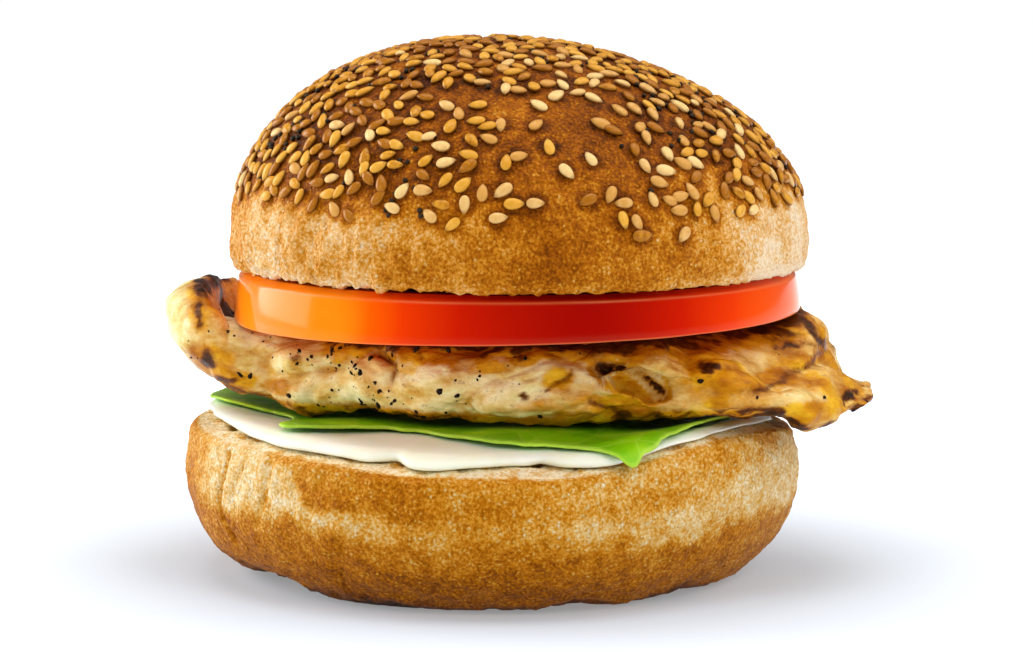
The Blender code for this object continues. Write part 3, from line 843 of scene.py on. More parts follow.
# The torn hollow: its middle, half length, half width and depth in mm, and its slope.
TEAR = {"x": 21.4, "z": 35.6, "half_length": 6.6, "half_width": 3.0, "depth": 3.2, "slope": -0.42}
fx, fy, fz = fillet[..., 0], fillet[..., 1], fillet[..., 2]
facing_front = smooth(4.0, -6.0, fy)


def along_line(x, z, x0, z0, x1, z1):
    """Distance from a line piece in the x, z plane."""
    length = math.hypot(x1 - x0, z1 - z0)
    share = np.clip(((x - x0) * (x1 - x0) + (z - z0) * (z1 - z0)) / length**2, 0.0, 1.0)
    return np.hypot(x - x0 - share * (x1 - x0), z - z0 - share * (z1 - z0))


def tear_depth(x, z):
    """1 in the middle of the torn hollow, fading to 0 at its lips."""
    dx, dz = x - TEAR["x"], z - TEAR["z"] - TEAR["slope"] * (x - TEAR["x"])
    lip = 1.1 * uneven(x, z, 0.0, 2.2, 3.3, octaves=3)
    away = np.hypot(dx / TEAR["half_length"], (dz + lip) / TEAR["half_width"])
    return smooth(1.1, 0.6, away)


def lines(listed, waviness):
    """The tallest of the listed ridges at each point of the front."""
    total = np.zeros_like(fx)
    for x0, z0, x1, z1, height, half_width in listed:
        wavy = waviness * uneven(fx, fy, fz, 3.0, x0)
        total = np.maximum(total, height * hill(along_line(fx, fz + wavy, x0, z0, x1, z1), half_width))
    return total * facing_front


print("creases", len(FILLET_CREASES), "and a tear", TEAR["depth"], "mm deep")

# %% Fillet relief
# Fibres run left to right, so their noise is stretched along X. Real ones are about half a
# millimetre thick, and these are drawn twice that so that they show.
FIBRE_MM = 1.0
FIBRE_STRETCH = 6.0
FILLET_RELIEF_MM = {"pillows": 3.4, "small_pillows": 1.1, "fine_lumps": 0.18, "fibres": 0.12}
bend = 1.6 * uneven(fx, fy, fz, 16.0, 9.9)
fibres = uneven(fx / FIBRE_STRETCH, fy + bend, fz + bend, FIBRE_MM, 0.7, octaves=2)
pillows = np.abs(uneven(fx / 1.3, fy, fz, 11.0, 3.9)) ** 0.75
small_pillows = np.abs(uneven(fx / 1.3, fy, fz, 4.6, 7.1, octaves=2))
fine_lumps = uneven(fx / 1.3, fy, fz, 1.5, 6.4, octaves=3)
outline_here = round_outline(np.arctan2(fy, fx - FILLET_CENTRE[0]), FILLET_OUTLINE)
outside = smooth(0.76, 0.84, np.hypot(fx - FILLET_CENTRE[0], fy) / outline_here)
torn = tear_depth(fx, fz) * facing_front
creases = lines(FILLET_CREASES, 0.6)
strings = lines(FILLET_STRINGS, 0.4)
across_grain = fz - TEAR["z"] - TEAR["slope"] * (fx - TEAR["x"])
strands = torn * uneven(fx / 5.0, across_grain, 0.0 * fx, 1.1, 5.5, octaves=2)
fillet_relief = FILLET_RELIEF_MM["pillows"] * (pillows - 0.36)
fillet_relief += FILLET_RELIEF_MM["small_pillows"] * (small_pillows - 0.24)
fillet_relief += FILLET_RELIEF_MM["fine_lumps"] * fine_lumps + FILLET_RELIEF_MM["fibres"] * fibres
fillet_relief *= 1.0 - 0.6 * smooth(-42.0, -47.0, fx)
fillet_relief = outside * (fillet_relief - creases - TEAR["depth"] * torn + strings + strands)
fillet = relief(fillet, fillet_relief)
fx, fy, fz = fillet[..., 0], fillet[..., 1], fillet[..., 2]
print("fillet relief", round(float(fillet_relief.min()), 1), "to", round(float(fillet_relief.max()), 1), "mm")

# %% [markdown]
# Colour on a grilled fillet comes in three depths: creamy flesh, golden browning where it touched the hot
# plate, and near black char on high edges. Two numbers are stored for that, and painted shade goes into the
# same two numbers: under the tomato's edge, in valleys and creases, on the curl's inner wall, along the lower
# edge and in the tear's hollow.
# The named marks sit where the photograph shows them, and two low ones under the middle are painted shadow.
# Noise gives the rest, so the back is as lively as the front.

# %% Marks on the fillet
# Marks on the front, as (x, height, half width, half height, strength) in mm. Most are grill browning; the
# two at heights 28.5 and 29.5 are painted shadow along the lower edge.
BROWN_AND_SHADOW_MARKS = (
    (-45.5, 46.0, 4.5, 3.2, 0.85), (-47.0, 43.0, 2.2, 3.6, 0.8), (-45.0, 35.5, 4.0, 3.6, 1.0),
    (-41.0, 32.5, 4.0, 2.0, 0.9), (-34.0, 32.4, 3.0, 1.4, 0.8), (-18.0, 41.2, 7.0, 1.4, 0.9),
    (-3.0, 40.5, 9.0, 1.8, 0.9), (10.0, 40.0, 7.0, 1.5, 1.0), (13.0, 29.5, 5.0, 1.8, 0.8),
    (-5.0, 28.5, 9.0, 1.5, 0.8), (19.0, 31.0, 4.5, 1.8, 1.0), (33.0, 37.0, 3.4, 1.6, 0.9),
    (44.0, 34.5, 5.5, 1.4, 1.0), (50.0, 36.5, 5.0, 1.2, 0.9), (45.0, 40.5, 7.0, 1.8, 0.9),
    (49.0, 29.5, 9.0, 2.0, 0.9), (31.0, 28.5, 5.0, 1.0, 0.6), (58.0, 31.5, 3.0, 2.5, 0.8),
    (28.0, 40.5, 9.0, 1.4, 0.9), (-14.0, 36.5, 2.5, 1.0, 0.6), (0.0, 37.6, 3.4, 1.2, 0.9),
    (-24.0, 38.0, 1.6, 2.0, 0.6), (10.5, 35.6, 2.5, 2.0, 0.9),
)
CHAR_MARKS = (
    (-44.8, 47.2, 3.6, 1.0, 0.8), (-47.2, 43.2, 0.8, 2.8, 0.7), (-45.6, 36.0, 1.3, 1.8, 0.8),
    (-43.0, 32.6, 2.4, 0.8, 0.7), (34.0, 37.2, 1.8, 0.7, 0.9), (47.5, 38.8, 2.4, 0.5, 0.8),
    (57.2, 30.6, 1.5, 0.9, 0.9), (20.5, 29.4, 1.2, 1.2, 0.7), (5.0, 33.0, 1.1, 0.7, 0.6),
    (-31.0, 37.0, 0.8, 0.7, 0.5), (43.0, 41.0, 2.6, 0.7, 0.9),
)
# Dark seams where the plate's ridges pressed, in the form of the creases.
SCORCHED_SEAMS = (
    (41.0, 33.0, 54.0, 37.4, 0.55, 0.45), (37.0, 42.4, 46.5, 40.6, 0.8, 0.5),
    (44.0, 40.0, 53.0, 38.2, 0.5, 0.4), (47.0, 46.4, 53.5, 38.6, 0.8, 0.5),
    (53.5, 38.6, 59.0, 34.0, 0.5, 0.4), (15.4, 32.8, 20.5, 29.6, 0.55, 0.5),
    (-19.0, 39.8, -15.6, 37.6, 0.55, 0.3), (8.5, 34.0, 12.5, 36.4, 0.5, 0.35),
    (-38.0, 42.6, -31.0, 41.0, 0.6, 0.5),
)


def marks(listed, blur):
    """The strongest of the listed marks at each point, with wavering edges."""
    total = np.zeros_like(fx)
    warp_x = blur * uneven(fx, fy, fz, 2.5, 1.9, octaves=3)
    warp_z = 0.6 * blur * uneven(fx, fy, fz, 2.0, 4.9, octaves=3)
    for x, z, half_width, half_height, strength in listed:
        away = np.hypot((fx + warp_x - x) / half_width, (fz + warp_z - z) / half_height)
        total = np.maximum(total, strength * smooth(1.6, 0.4, away))
    return total


print("marks:", len(BROWN_AND_SHADOW_MARKS), "browned,", len(CHAR_MARKS), "charred")

# %% Browning and char
# Where the meat is browned and where it is charred, from the shape, with shade painted into the same numbers:
# painted shadow under the tomato's edge, and painted shade on the curl's inner wall, in valleys and creases,
# along the lower edge and in the upper left of the tear. Round the tear the lips and strands are browned.
patches = uneven(fx / 1.4, fy, fz, 8.0, 12.3, octaves=4)
ragged = uneven(fx / 1.5, fy, fz, 2.6, 2.2, octaves=4)
under_gap = tomato_under(fx) - fz
across = np.hypot(fx - TOMATO_CENTRE_X, fy)
near_tomato = smooth(50.0, 46.5, across) * (0.15 + 0.85 * smooth(-34.0, -22.0, fx))
curl_wall = smooth(47.4, 49.0, across) * smooth(54.0, 52.0, across) * smooth(-34.0, -39.0, fx)
lower_edge = smooth(2.4, 0.6, fz - fillet_under(fx, fy))
valley = smooth(-0.9, -2.1, fillet_relief + TEAR["depth"] * torn)
# Painted shade in the upper left of the tear's hollow.
hollow_dark = torn * smooth(-1.2, 1.0, across_grain) * smooth(27.0, 19.0, fx)
tear_lip = smooth(0.02, 0.2, torn) * smooth(0.75, 0.35, torn)
golden_side = 0.22 * smooth(-22.0, 0.0, fx) + 0.5 * smooth(8.0, 36.0, fx)
browned = 0.45 * smooth(0.1, 0.6, patches) + golden_side * (0.85 + 0.7 * patches)
# Layers: marks, painted shadow under the tomato's edge, painted shade on the curl's wall, in valleys and
# along the lower edge, then the tear's inside and lips.
for layer in (
    facing_front * marks(BROWN_AND_SHADOW_MARKS, 1.0),
    near_tomato * smooth(5.6, 3.0, under_gap + 1.8 * ragged),
    0.5 * curl_wall,
    0.6 * valley,
    0.9 * lower_edge,
    0.35 * torn + 1.5 * np.abs(strands),
    0.9 * tear_lip,
):
    browned = np.maximum(browned, layer)
charred = (1.0 - facing_front) * smooth(0.3, 0.65, patches)
# Layers: marks, seams, painted shade in the tear's upper left and in creases, the strands, painted shadow
# under the tomato's edge, painted shade on the curl's wall and along the lower edge.
for layer in (
    facing_front * marks(CHAR_MARKS, 0.8),
    lines(SCORCHED_SEAMS, 1.0),
    0.95 * hollow_dark,
    0.5 * smooth(0.8, 1.5, creases),
    1.2 * smooth(0.1, 0.5, strands),
    0.7 * near_tomato * smooth(3.7, 1.9, under_gap + 1.5 * ragged),
    curl_wall * smooth(44.0, 46.5, fz) * (0.75 + 0.6 * ragged),
    lower_edge * (0.55 + 0.25 * smooth(30.0, 45.0, fx)) * smooth(-0.25, 0.25, ragged),
):
    charred = np.maximum(charred, layer)
print("browned", round(float(browned.mean()), 2), "charred", round(float(charred.mean()), 2))

# %% Chicken finish
# Cooked breast: dense, moist and slightly translucent, with a thin film of fat that shines.
# The stored browning and char, with the painted shade in them, are broken up by fine noise, so their edges
# are grainy as on the grill.
FLESH_MM = 4.0
GRAIN_MM = 0.7
chicken_finish, tree, shader = finish(
    "grilled_chicken_breast", Roughness=0.25, IOR=1.42, Specular_IOR_Level=0.30,
    Specular_Tint=shade("ffd090"),
    Subsurface_Weight=0.08, Subsurface_Radius=(1.0, 0.55, 0.3), Subsurface_Scale=0.9 * MM,
)
place = add(tree, "ShaderNodeTexCoord").outputs["Object"]
stretch = add(tree, "ShaderNodeMapping", {"Vector": place, "Scale": (0.55, 1.0, 1.0)})
flesh = add(tree, "ShaderNodeTexNoise", {
    "Vector": stretch.outputs["Vector"], "Scale": 1.0 / (FLESH_MM * MM), "Detail": 6.0, "Roughness": 0.62,
}).outputs["Fac"]
grain = add(tree, "ShaderNodeTexNoise", {
    "Vector": stretch.outputs["Vector"], "Scale": 1.0 / (GRAIN_MM * MM), "Detail": 4.0, "Roughness": 0.65,
}).outputs["Fac"]


def grainy(name, low, high):
    """A stored mask with its edge broken up by the grain."""
    mask = add(tree, "ShaderNodeAttribute", attribute_name=name).outputs["Fac"]
    shaken = add(tree, "ShaderNodeMath", {0: grain, 1: 0.6, 2: mask}, operation="MULTIPLY_ADD")
    return add(tree, "ShaderNodeMapRange", {
        "Value": shaken.outputs["Value"], "From Min": low, "From Max": high,
    }, interpolation_type="SMOOTHSTEP").outputs["Result"]


creamy = add(
    tree, "ShaderNodeValToRGB", {"Fac": flesh}, stops=[(0.34, "d8a444"), (0.44, "ecce7c"), (0.58, "faecb4")],
)
golden = add(
    tree, "ShaderNodeValToRGB", {"Fac": flesh}, stops=[(0.34, "a45a04"), (0.5, "d08a0c"), (0.66, "eeb822")],
)
char_and_shade_colours = add(
    tree, "ShaderNodeValToRGB", {"Fac": grainy("charred", 0.4, 1.3)},
    stops=[(0.1, "9c5406"), (0.5, "6c3406"), (0.95, "2c1204")],
)
toned = add(tree, "ShaderNodeMix", {
    "Factor": grainy("browned", 0.25, 1.15), 6: creamy.outputs["Color"], 7: golden.outputs["Color"],
}, data_type="RGBA")
burnt_and_shaded = add(tree, "ShaderNodeMix", {
    "Factor": grainy("charred", 0.38, 0.95), 6: toned.outputs[2], 7: char_and_shade_colours.outputs["Color"],
}, data_type="RGBA")
grain_dark = add(tree, "ShaderNodeMapRange", {
    "Value": grain, "From Min": 0.42, "From Max": 0.32, "To Min": 0.0, "To Max": 0.45,
})
speckled = add(tree, "ShaderNodeMix", {
    "Factor": grain_dark.outputs["Result"], 6: burnt_and_shaded.outputs[2], 7: shade("8a4c0c"),
}, data_type="RGBA")
tree.links.new(speckled.outputs[2], shader.inputs["Base Color"])
meat = add(tree, "ShaderNodeBump", {"Height": grain, "Strength": 0.6, "Distance": 0.4 * MM})
tree.links.new(meat.outputs["Normal"], shader.inputs["Normal"])
fillet_piece = piece_from_rings(
    "chicken", fillet, chicken_finish, browned=browned, charred=charred,
)
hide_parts("chicken_fillet")
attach(fillet_piece, "root")

# %% [markdown]
# ## Tomato slice
#
# The skin of a ripe tomato is a thin, smooth, glossy film over wet flesh, redder where it is ripest. The
# orange towards both ends is partly ripeness and partly a painted glow of light through the slice's thin
# ends. At each cut edge a fine pale line is partly paler flesh and partly a painted highlight on the rounded
# edge.

# %% Tomato form
TOMATO_LEAN = 1.0
TOMATO_BEVEL = 1.1
# Where along X the skin is reddest, and how far that reaches to each side. Towards both ends it turns orange,
# partly ripeness and partly a painted glow.
REDDEST_X = 13.0
RED_WIDTH = 17.0


def tomato_outline(turn, level=0.0):
    """The skin leans in toward the top and rounds over to the cut face."""
    lean = TOMATO_LEAN * (0.5 - np.clip(level, 0.0, 1.0))
    bevel = TOMATO_BEVEL * smooth(0.84, 1.0, level) ** 1.5
    return TOMATO_RADIUS * (1.0 + 0.006 * np.cos(3.0 * turn + 0.8)) + lean - bevel


tomato = slab(
    turns(480), (TOMATO_CENTRE_X, 0.0), tomato_outline, lambda x, y: tomato_under(x),
    lambda x, y: TOMATO_TOP_HEIGHT, slab_path(0.3, 0.992, 12, 44, 0.75),
)
tx, ty, tz = tomato[..., 0], tomato[..., 1], tomato[..., 2]
tomato = relief(tomato, 0.05 * uneven(tx, ty, tz, 7.0, 2.9))
tomato_level = (tz - tomato_under(tx)) / (TOMATO_TOP_HEIGHT - tomato_under(tx))
# A pale line at each cut edge: partly paler flesh, partly a painted highlight where the edge rounds over.
cut_edge_and_highlight = 0.4 * smooth(0.05, 0.01, tomato_level) + 0.35 * hill(tomato_level - 0.86, 0.016)
# Redder in the middle, orange towards both ends: partly ripeness, partly a painted glow of light through the
# thin ends.
ripeness = hill(tx - REDDEST_X, RED_WIDTH) + 0.08 * uneven(tx, ty, tz, 16.0, 7.1)
print("tomato", round(TOMATO_TOP_HEIGHT - TOMATO_UNDER_HEIGHT, 1), "mm thick")

# %% Tomato finish
# Ripe tomato skin: waxy and smooth, so it mirrors the soft boxes in long soft streaks.
tomato_finish, tree, shader = finish(
    "tomato_skin", Roughness=0.12, IOR=1.45, Specular_IOR_Level=0.26, Specular_Tint=shade("ffc898"),
    Subsurface_Weight=0.1, Subsurface_Radius=(1.0, 0.25, 0.08), Subsurface_Scale=1.5 * MM,
)
stored_ripeness_and_glow = add(tree, "ShaderNodeAttribute", attribute_name="ripeness").outputs["Fac"]
stored_cut_edge_and_highlight = add(tree, "ShaderNodeAttribute", attribute_name="cut").outputs["Fac"]
red = add(
    tree, "ShaderNodeValToRGB", {"Fac": stored_ripeness_and_glow},
    stops=[(0.05, "ff860c"), (0.14, "fa5c00"), (0.30, "ec3800"), (0.6, "ca1800"), (1.0, "a20400")],
)
# Mixes in the pale cut lines, partly a painted highlight.
skin = add(tree, "ShaderNodeMix", {
    "Factor": stored_cut_edge_and_highlight, 6: red.outputs["Color"], 7: shade("f08a4e"),
}, data_type="RGBA")
tree.links.new(skin.outputs[2], shader.inputs["Base Color"])
tomato_piece = piece_from_rings("tomato", tomato, tomato_finish, ripeness=ripeness, cut=cut_edge_and_highlight)
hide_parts("tomato_slice")
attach(tomato_piece, "root")

# %% [markdown]
# ## Bun crown
#
# The dome is a superellipse turned round a centre that drifts to the left with height,
# because this bun rose a little askew. Rise 0 is the widest ring and rise 1 is the top.

# %% Crown form
CROWN_CENTRE_X = 4.3
CROWN_RADIUS = 47.3
CROWN_CUT_HEIGHT = 50.3
CROWN_WIDEST_HEIGHT = 53.2
CROWN_TOP_HEIGHT = 86.8
CROWN_TOP_SHIFT = -5.0
CROWN_TUCK = 0.9
CROWN_SHOULDER = 0.93


def crown_point(turn, rise):
    """Points of the crust at angles and rises, as an array with x, y, z last."""
    quarter = rise * np.pi / 2.0
    dome = CROWN_TOP_HEIGHT - CROWN_WIDEST_HEIGHT
    height = dome * np.sin(quarter) ** CROWN_SHOULDER
    radius = CROWN_RADIUS * np.cos(quarter)
    centre_x = CROWN_CENTRE_X + CROWN_TOP_SHIFT * (height / dome) ** 3
    x, y = radius * np.cos(turn), radius * np.sin(turn)
    swell = 1.0 + 0.006 * uneven(x, y, height, 22.0, 1.7)
    return np.stack([centre_x + x * swell, y * swell, CROWN_WIDEST_HEIGHT + height * swell], axis=-1)


def crown_normal(turn, rise):
    step = 0.004
    along = crown_point(turn + step, rise) - crown_point(turn - step, rise)
    up = crown_point(turn, np.minimum(1.0, rise + step)) - crown_point(turn, rise - step)
    normal = np.cross(along, up)
    return normal / np.linalg.norm(normal, axis=-1, keepdims=True)


# %% Crown rings
CROWN_SIDES = 560
CROWN_RELIEF_MM = {"swells": 0.30, "lumps": 0.16, "wrinkles": 0.18, "left_wrinkles": 0.80, "rim": 0.40}


def crown_rings():
    turn = turns(CROWN_SIDES)
    cos, sin = np.cos(turn), np.sin(turn)
    rings = []
    cut_radius = CROWN_RADIUS - CROWN_TUCK
    for part in (0.3, 0.6, 0.8, 0.88, 0.93, 0.96, 0.98):
        x, y = CROWN_CENTRE_X + part * cut_radius * cos, part * cut_radius * sin
        rings.append(np.stack([x, y, np.full_like(x, CROWN_CUT_HEIGHT)], axis=-1))
    widest = crown_point(turn, np.zeros_like(turn))
    for share in np.linspace(0.0, 0.9, 9):
        tuck = CROWN_TUCK * (1.0 - share) ** 2
        height = CROWN_CUT_HEIGHT + (CROWN_WIDEST_HEIGHT - CROWN_CUT_HEIGHT) * share
        x, y = widest[:, 0] - tuck * cos, widest[:, 1] - tuck * sin
        rings.append(np.stack([x, y, np.full_like(x, height)], axis=-1))
    for rise in np.linspace(0.0, 0.985, 140):
        rings.append(crown_point(turn, np.full_like(turn, rise)))
    return np.array(rings), np.repeat(turn[None, :], len(rings), axis=0)


crown, crown_turn = crown_rings()
cx, cy, cz = crown[..., 0], crown[..., 1], crown[..., 2]
crown_relief = CROWN_RELIEF_MM["swells"] * uneven(cx, cy, cz, 8.0, 2.8)
crown_relief += CROWN_RELIEF_MM["lumps"] * uneven(cx, cy, cz, 2.0, 9.3, octaves=4)
left_side = hill(degrees_apart(crown_turn, 215.0), 32.0)
wrinkle_height = CROWN_RELIEF_MM["wrinkles"] + CROWN_RELIEF_MM["left_wrinkles"] * left_side
wrinkles = uneven(cx, cy, cz / 3.0, 2.2, 5.2, octaves=3)
crown_relief += smooth(67.0, 60.0, cz) * wrinkle_height * wrinkles
ragged_rim = uneven(cx, cy, cz, 1.3, 3.7, octaves=3)
crown_relief += smooth(53.0, 50.8, cz) * CROWN_RELIEF_MM["rim"] * ragged_rim
crown = relief(crown, crown_relief)
print("crown", crown.shape)

# %% [markdown]
# ## Seeds
#
# Sesame and poppy seeds are strewn on wet dough and bake in. They are thrown like darts with
# a fixed random seed, and a dart that lands too near another is dropped. The first throw is
# wide, and the plain solid holds the same seeds. The second fills in between.

# %% Where seeds lie
SEED_LENGTH = 3.1
SEED_WIDTH = 1.85
SEED_HEIGHT = 1.2
SEED_COUNT = 165
SEED_SPACING = 4.9
SEED_DRAW = 7
# The front of the dome, where seeds lie thin, and half the width of that stretch.
FRONT_TURN = math.radians(282.0)
FRONT_HALF = math.radians(26.0)


def front_share(turn):
    """1 at the middle of the front, fading to 0 towards the sides."""
    return math.exp(-0.5 * ((turn - FRONT_TURN) / FRONT_HALF) ** 2)


def seed_cover(turn, rise):
    """How thickly seeds lie, from 0 to 1: bare round the rim, lower down and thinner in front."""
    front = front_share(turn)
    low_edge = 0.14 - 0.10 * front
    cover = smooth(low_edge, low_edge + 0.09, rise)
    return float(cover * (1.0 - 0.45 * front * smooth(0.60, 0.40, rise)))


def throw_seeds(draw, tries, count, spacing, kept, cover_rule):
    """Adds (point, turn, rise, heading, size) to kept until there are count, or tries run out."""
    places = [entry[0] for entry in kept]
    for _ in range(tries):
        turn = draw.uniform(0.0, math.tau)
        rise = math.asin(draw.uniform(0.0, 0.999)) * 2.0 / math.pi
        heading = draw.uniform(0.0, math.tau)
        size = draw.uniform(0.88, 1.12)
        if draw.random() > cover_rule(turn, rise):
            continue
        point = crown_point(np.array(turn), np.array(rise))
        if places and np.min(np.linalg.norm(np.array(places) - point, axis=1)) <= spacing:
            continue
        places.append(point)
        kept.append((point, turn, rise, heading, size))
        if len(kept) == count:
            break
    return kept


sesame = throw_seeds(random.Random(SEED_DRAW), SEED_COUNT * 60, SEED_COUNT, SEED_SPACING, [], seed_cover)
print("widely spaced seeds:", len(sesame))

# %% Seeds between the first ones
DENSE_COUNT = 960
DENSE_SPACING = 2.05
DENSE_TRIES = 16000
DENSE_DRAW = 21


def dense_cover(turn, rise):
    """The second throw: thick on the sides, top and back, and hardly any on the front face."""
    bare_front = front_share(turn) * smooth(0.80, 0.50, rise)
    return seed_cover(turn, rise) * (1.0 - 0.93 * bare_front)


sesame = throw_seeds(
    random.Random(DENSE_DRAW), DENSE_TRIES, DENSE_COUNT, DENSE_SPACING, sesame, dense_cover,
)
print("sesame seeds:", len(sesame))

# %% Crown bake
# The crust is painted darker in a ring round each seed, a painted shade for the crevice where seed meets
# crust. The flanks that faced other buns in the oven stayed pale.
CROWN_BAKE_AND_SHADE = {
    "plain": 0.54, "mottle": 0.14, "top": 0.06, "left_flank": -0.36, "right_flank": -0.50,
    "back_flank": -0.25, "lower_front": 0.08, "rim": -0.10, "painted_shade_round_seeds": 0.22,
}
FAR_FROM_SEED = 9.0
seed_tree = KDTree(len(sesame))
for number, entry in enumerate(sesame):
    seed_tree.insert(Vector(entry[0]), number)
seed_tree.balance()
# Distance to the nearest seed, for the painted shade round each seed.
from_seed = np.full(cz.shape, FAR_FROM_SEED)
for place_in_rings in zip(*np.nonzero(cz > CROWN_WIDEST_HEIGHT)):
    from_seed[place_in_rings] = seed_tree.find(Vector(crown[place_in_rings]))[2]
left_flank = hill(degrees_apart(crown_turn, 221.0), 31.0) * smooth(70.0, 58.0, cz)
right_flank = hill(degrees_apart(crown_turn, 336.0), 23.0) * smooth(73.0, 59.0, cz)
back_flank = hill(degrees_apart(crown_turn, 95.0), 40.0) * smooth(62.0, 54.0, cz)
lower_front = hill(degrees_apart(crown_turn, 275.0), 28.0) * smooth(60.0, 54.0, cz)
crown_bake_and_shade = CROWN_BAKE_AND_SHADE["plain"] + CROWN_BAKE_AND_SHADE["mottle"] * uneven(cx, cy, cz, 9.0, 6.6, octaves=4)
for part, share in (
    ("top", smooth(62.0, 74.0, cz)), ("left_flank", left_flank), ("right_flank", right_flank),
    ("back_flank", back_flank), ("lower_front", lower_front), ("rim", smooth(52.2, 51.0, cz)),
    ("painted_shade_round_seeds", smooth(2.5, 1.3, from_seed)),
):
    crown_bake_and_shade += CROWN_BAKE_AND_SHADE[part] * share
crown_speck = 1.0 - 0.4 * np.maximum(left_flank, right_flank)
crown_piece = piece_from_rings(
    "crown_crust", crown, crown_crust_finish, bake=crown_bake_and_shade, speck=crown_speck,
)
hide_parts("bun_crown")
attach(crown_piece, "root")

# %% [markdown]
# Every seed is the same drop shape: a round end, a pointed end and a low crest. A little
# random size, tilt and heading keeps the rows from looking laid by hand.

# %% One seed's form
SEED_TILT = 0.16
TILT_DRAW = 5


def seed_form(length, width, height, ring_count, side_count):
    """Points and faces of one seed along X: a round end at -X and a pointed one at +X."""
    t = -np.cos(np.linspace(0.0, np.pi, ring_count + 2))[1:-1]
    girth = (1.0 + t) ** 0.5 * (1.0 - t) ** 0.78
    girth = girth / girth.max()
    turn = turns(side_count)
    y = 0.5 * width * girth[:, None] * np.cos(turn)
    z = 0.5 * height * girth[:, None] ** 0.8 * np.sin(turn)
    x = np.repeat(0.5 * length * t[:, None], side_count, axis=1)
    points = np.concatenate([
        np.stack([x, y, z], axis=-1).reshape(-1, 3),
        [(-0.5 * length, 0.0, 0.0), (0.5 * length, 0.0, 0.0)],
    ])
    along = np.concatenate([np.repeat(t, side_count), [-1.0, 1.0]])
    crest = np.concatenate([np.tile(np.sin(turn), ring_count), [0.0, 0.0]])
    return points, ring_faces(ring_count, side_count), along, crest


def laid(normal, heading, aside):
    """Turns a form so that its X runs along a heading on the surface and its Z along the normal."""
    side = np.cross(normal, aside)
    side = side / np.linalg.norm(side)
    forward = math.cos(heading) * side + math.sin(heading) * np.cross(normal, side)
    return np.stack([forward, np.cross(normal, forward), normal])


def joined(name, copies, faces, surface, numbers):
    """One mesh from copies of a form's points, each with the same faces."""
    count = len(copies[0])
    all_faces = []
    for number in range(len(copies)):
        all_faces += [[corner + number * count for corner in face] for face in faces]
    return piece_from_mesh(name, np.concatenate(copies), all_faces, surface, numbers)


def strewn(name, spots, form, lift, tones, surface):
    """One joined mesh with a copy of the form at each spot, turned to the crust's slope."""
    points, faces, along, crest = form
    copies = []
    tilt_draw = random.Random(TILT_DRAW)
    for point, turn, rise, heading, size in spots:
        normal = crown_normal(np.array(turn), np.array(rise))
        normal = normal + SEED_TILT * np.array([tilt_draw.uniform(-1, 1) for _ in range(3)])
        normal = normal / np.linalg.norm(normal)
        copies.append(point + normal * lift + (points * size) @ laid(normal, heading, (0.0, 0.0, 1.0)))
    return joined(name, copies, faces, surface, {
        "tone": np.repeat(tones, len(points)),
        "along": np.tile(along, len(spots)),
        "crest": np.tile(crest, len(spots)),
    })


# %% Seed finishes
# Hulled sesame is ivory and satin. Where the oven toasted it, it turns amber to brown, and
# its oil makes it shine. Poppy seed is blue black with a fine net on its skin.
SEED_MOTTLE_MM = 0.9


def seed_finish(name, stops, tip_and_shade_code, roughness, specular):
    """Seed skin: a ramp over each seed's tone, darker at the tip, with painted shade on the lower sides where
    it meets the crust.
    """
    made, tree, shader = finish(
        name, Roughness=roughness, IOR=1.47, Specular_IOR_Level=specular, Specular_Tint=shade("ffe0b0"),
    )
    place = add(tree, "ShaderNodeTexCoord").outputs["Object"]
    tone, along, crest = (
        add(tree, "ShaderNodeAttribute", attribute_name=stored).outputs["Fac"]
        for stored in ("tone", "along", "crest")
    )
    mottle = add(tree, "ShaderNodeTexNoise", {
        "Vector": place, "Scale": 1.0 / (SEED_MOTTLE_MM * MM), "Detail": 3.0,
    })
    mottled = add(tree, "ShaderNodeMath", {
        0: mottle.outputs["Fac"], 1: 0.7, 2: tone,
    }, operation="MULTIPLY_ADD")
    hue = add(tree, "ShaderNodeValToRGB", {"Fac": mottled.outputs["Value"]}, stops=stops)
    tip = add(tree, "ShaderNodeMapRange", {
        "Value": along, "From Min": 0.5, "From Max": 1.0, "To Min": 0.0, "To Max": 0.8,
    })
    # Painted shade on each seed's lower sides, where it meets the crust.
    side = add(tree, "ShaderNodeMapRange", {
        "Value": crest, "From Min": 0.55, "From Max": -0.1, "To Min": 0.0, "To Max": 0.9,
    })
    darker = add(tree, "ShaderNodeMath", {
        0: tip.outputs["Result"], 1: side.outputs["Result"],
    }, operation="MAXIMUM")
    edged = add(tree, "ShaderNodeMix", {
        "Factor": darker.outputs["Value"], 6: hue.outputs["Color"], 7: shade(tip_and_shade_code),
    }, data_type="RGBA")
    tree.links.new(edged.outputs[2], shader.inputs["Base Color"])
    return made


pale_finish = seed_finish("sesame_ivory", [(0.3, "efcb86"), (1.3, "cf9444")], "8a5214", 0.32, 0.5)
toasted_finish = seed_finish(
    "sesame_toasted", [(0.3, "e6aa40"), (0.8, "ce8c20"), (1.35, "a4620c")], "643406", 0.26, 0.38,
)
poppy_finish = seed_finish("poppy_blue_black", [(0.3, "140e0a"), (1.3, "2c1e14")], "0a0604", 0.5, 0.25)

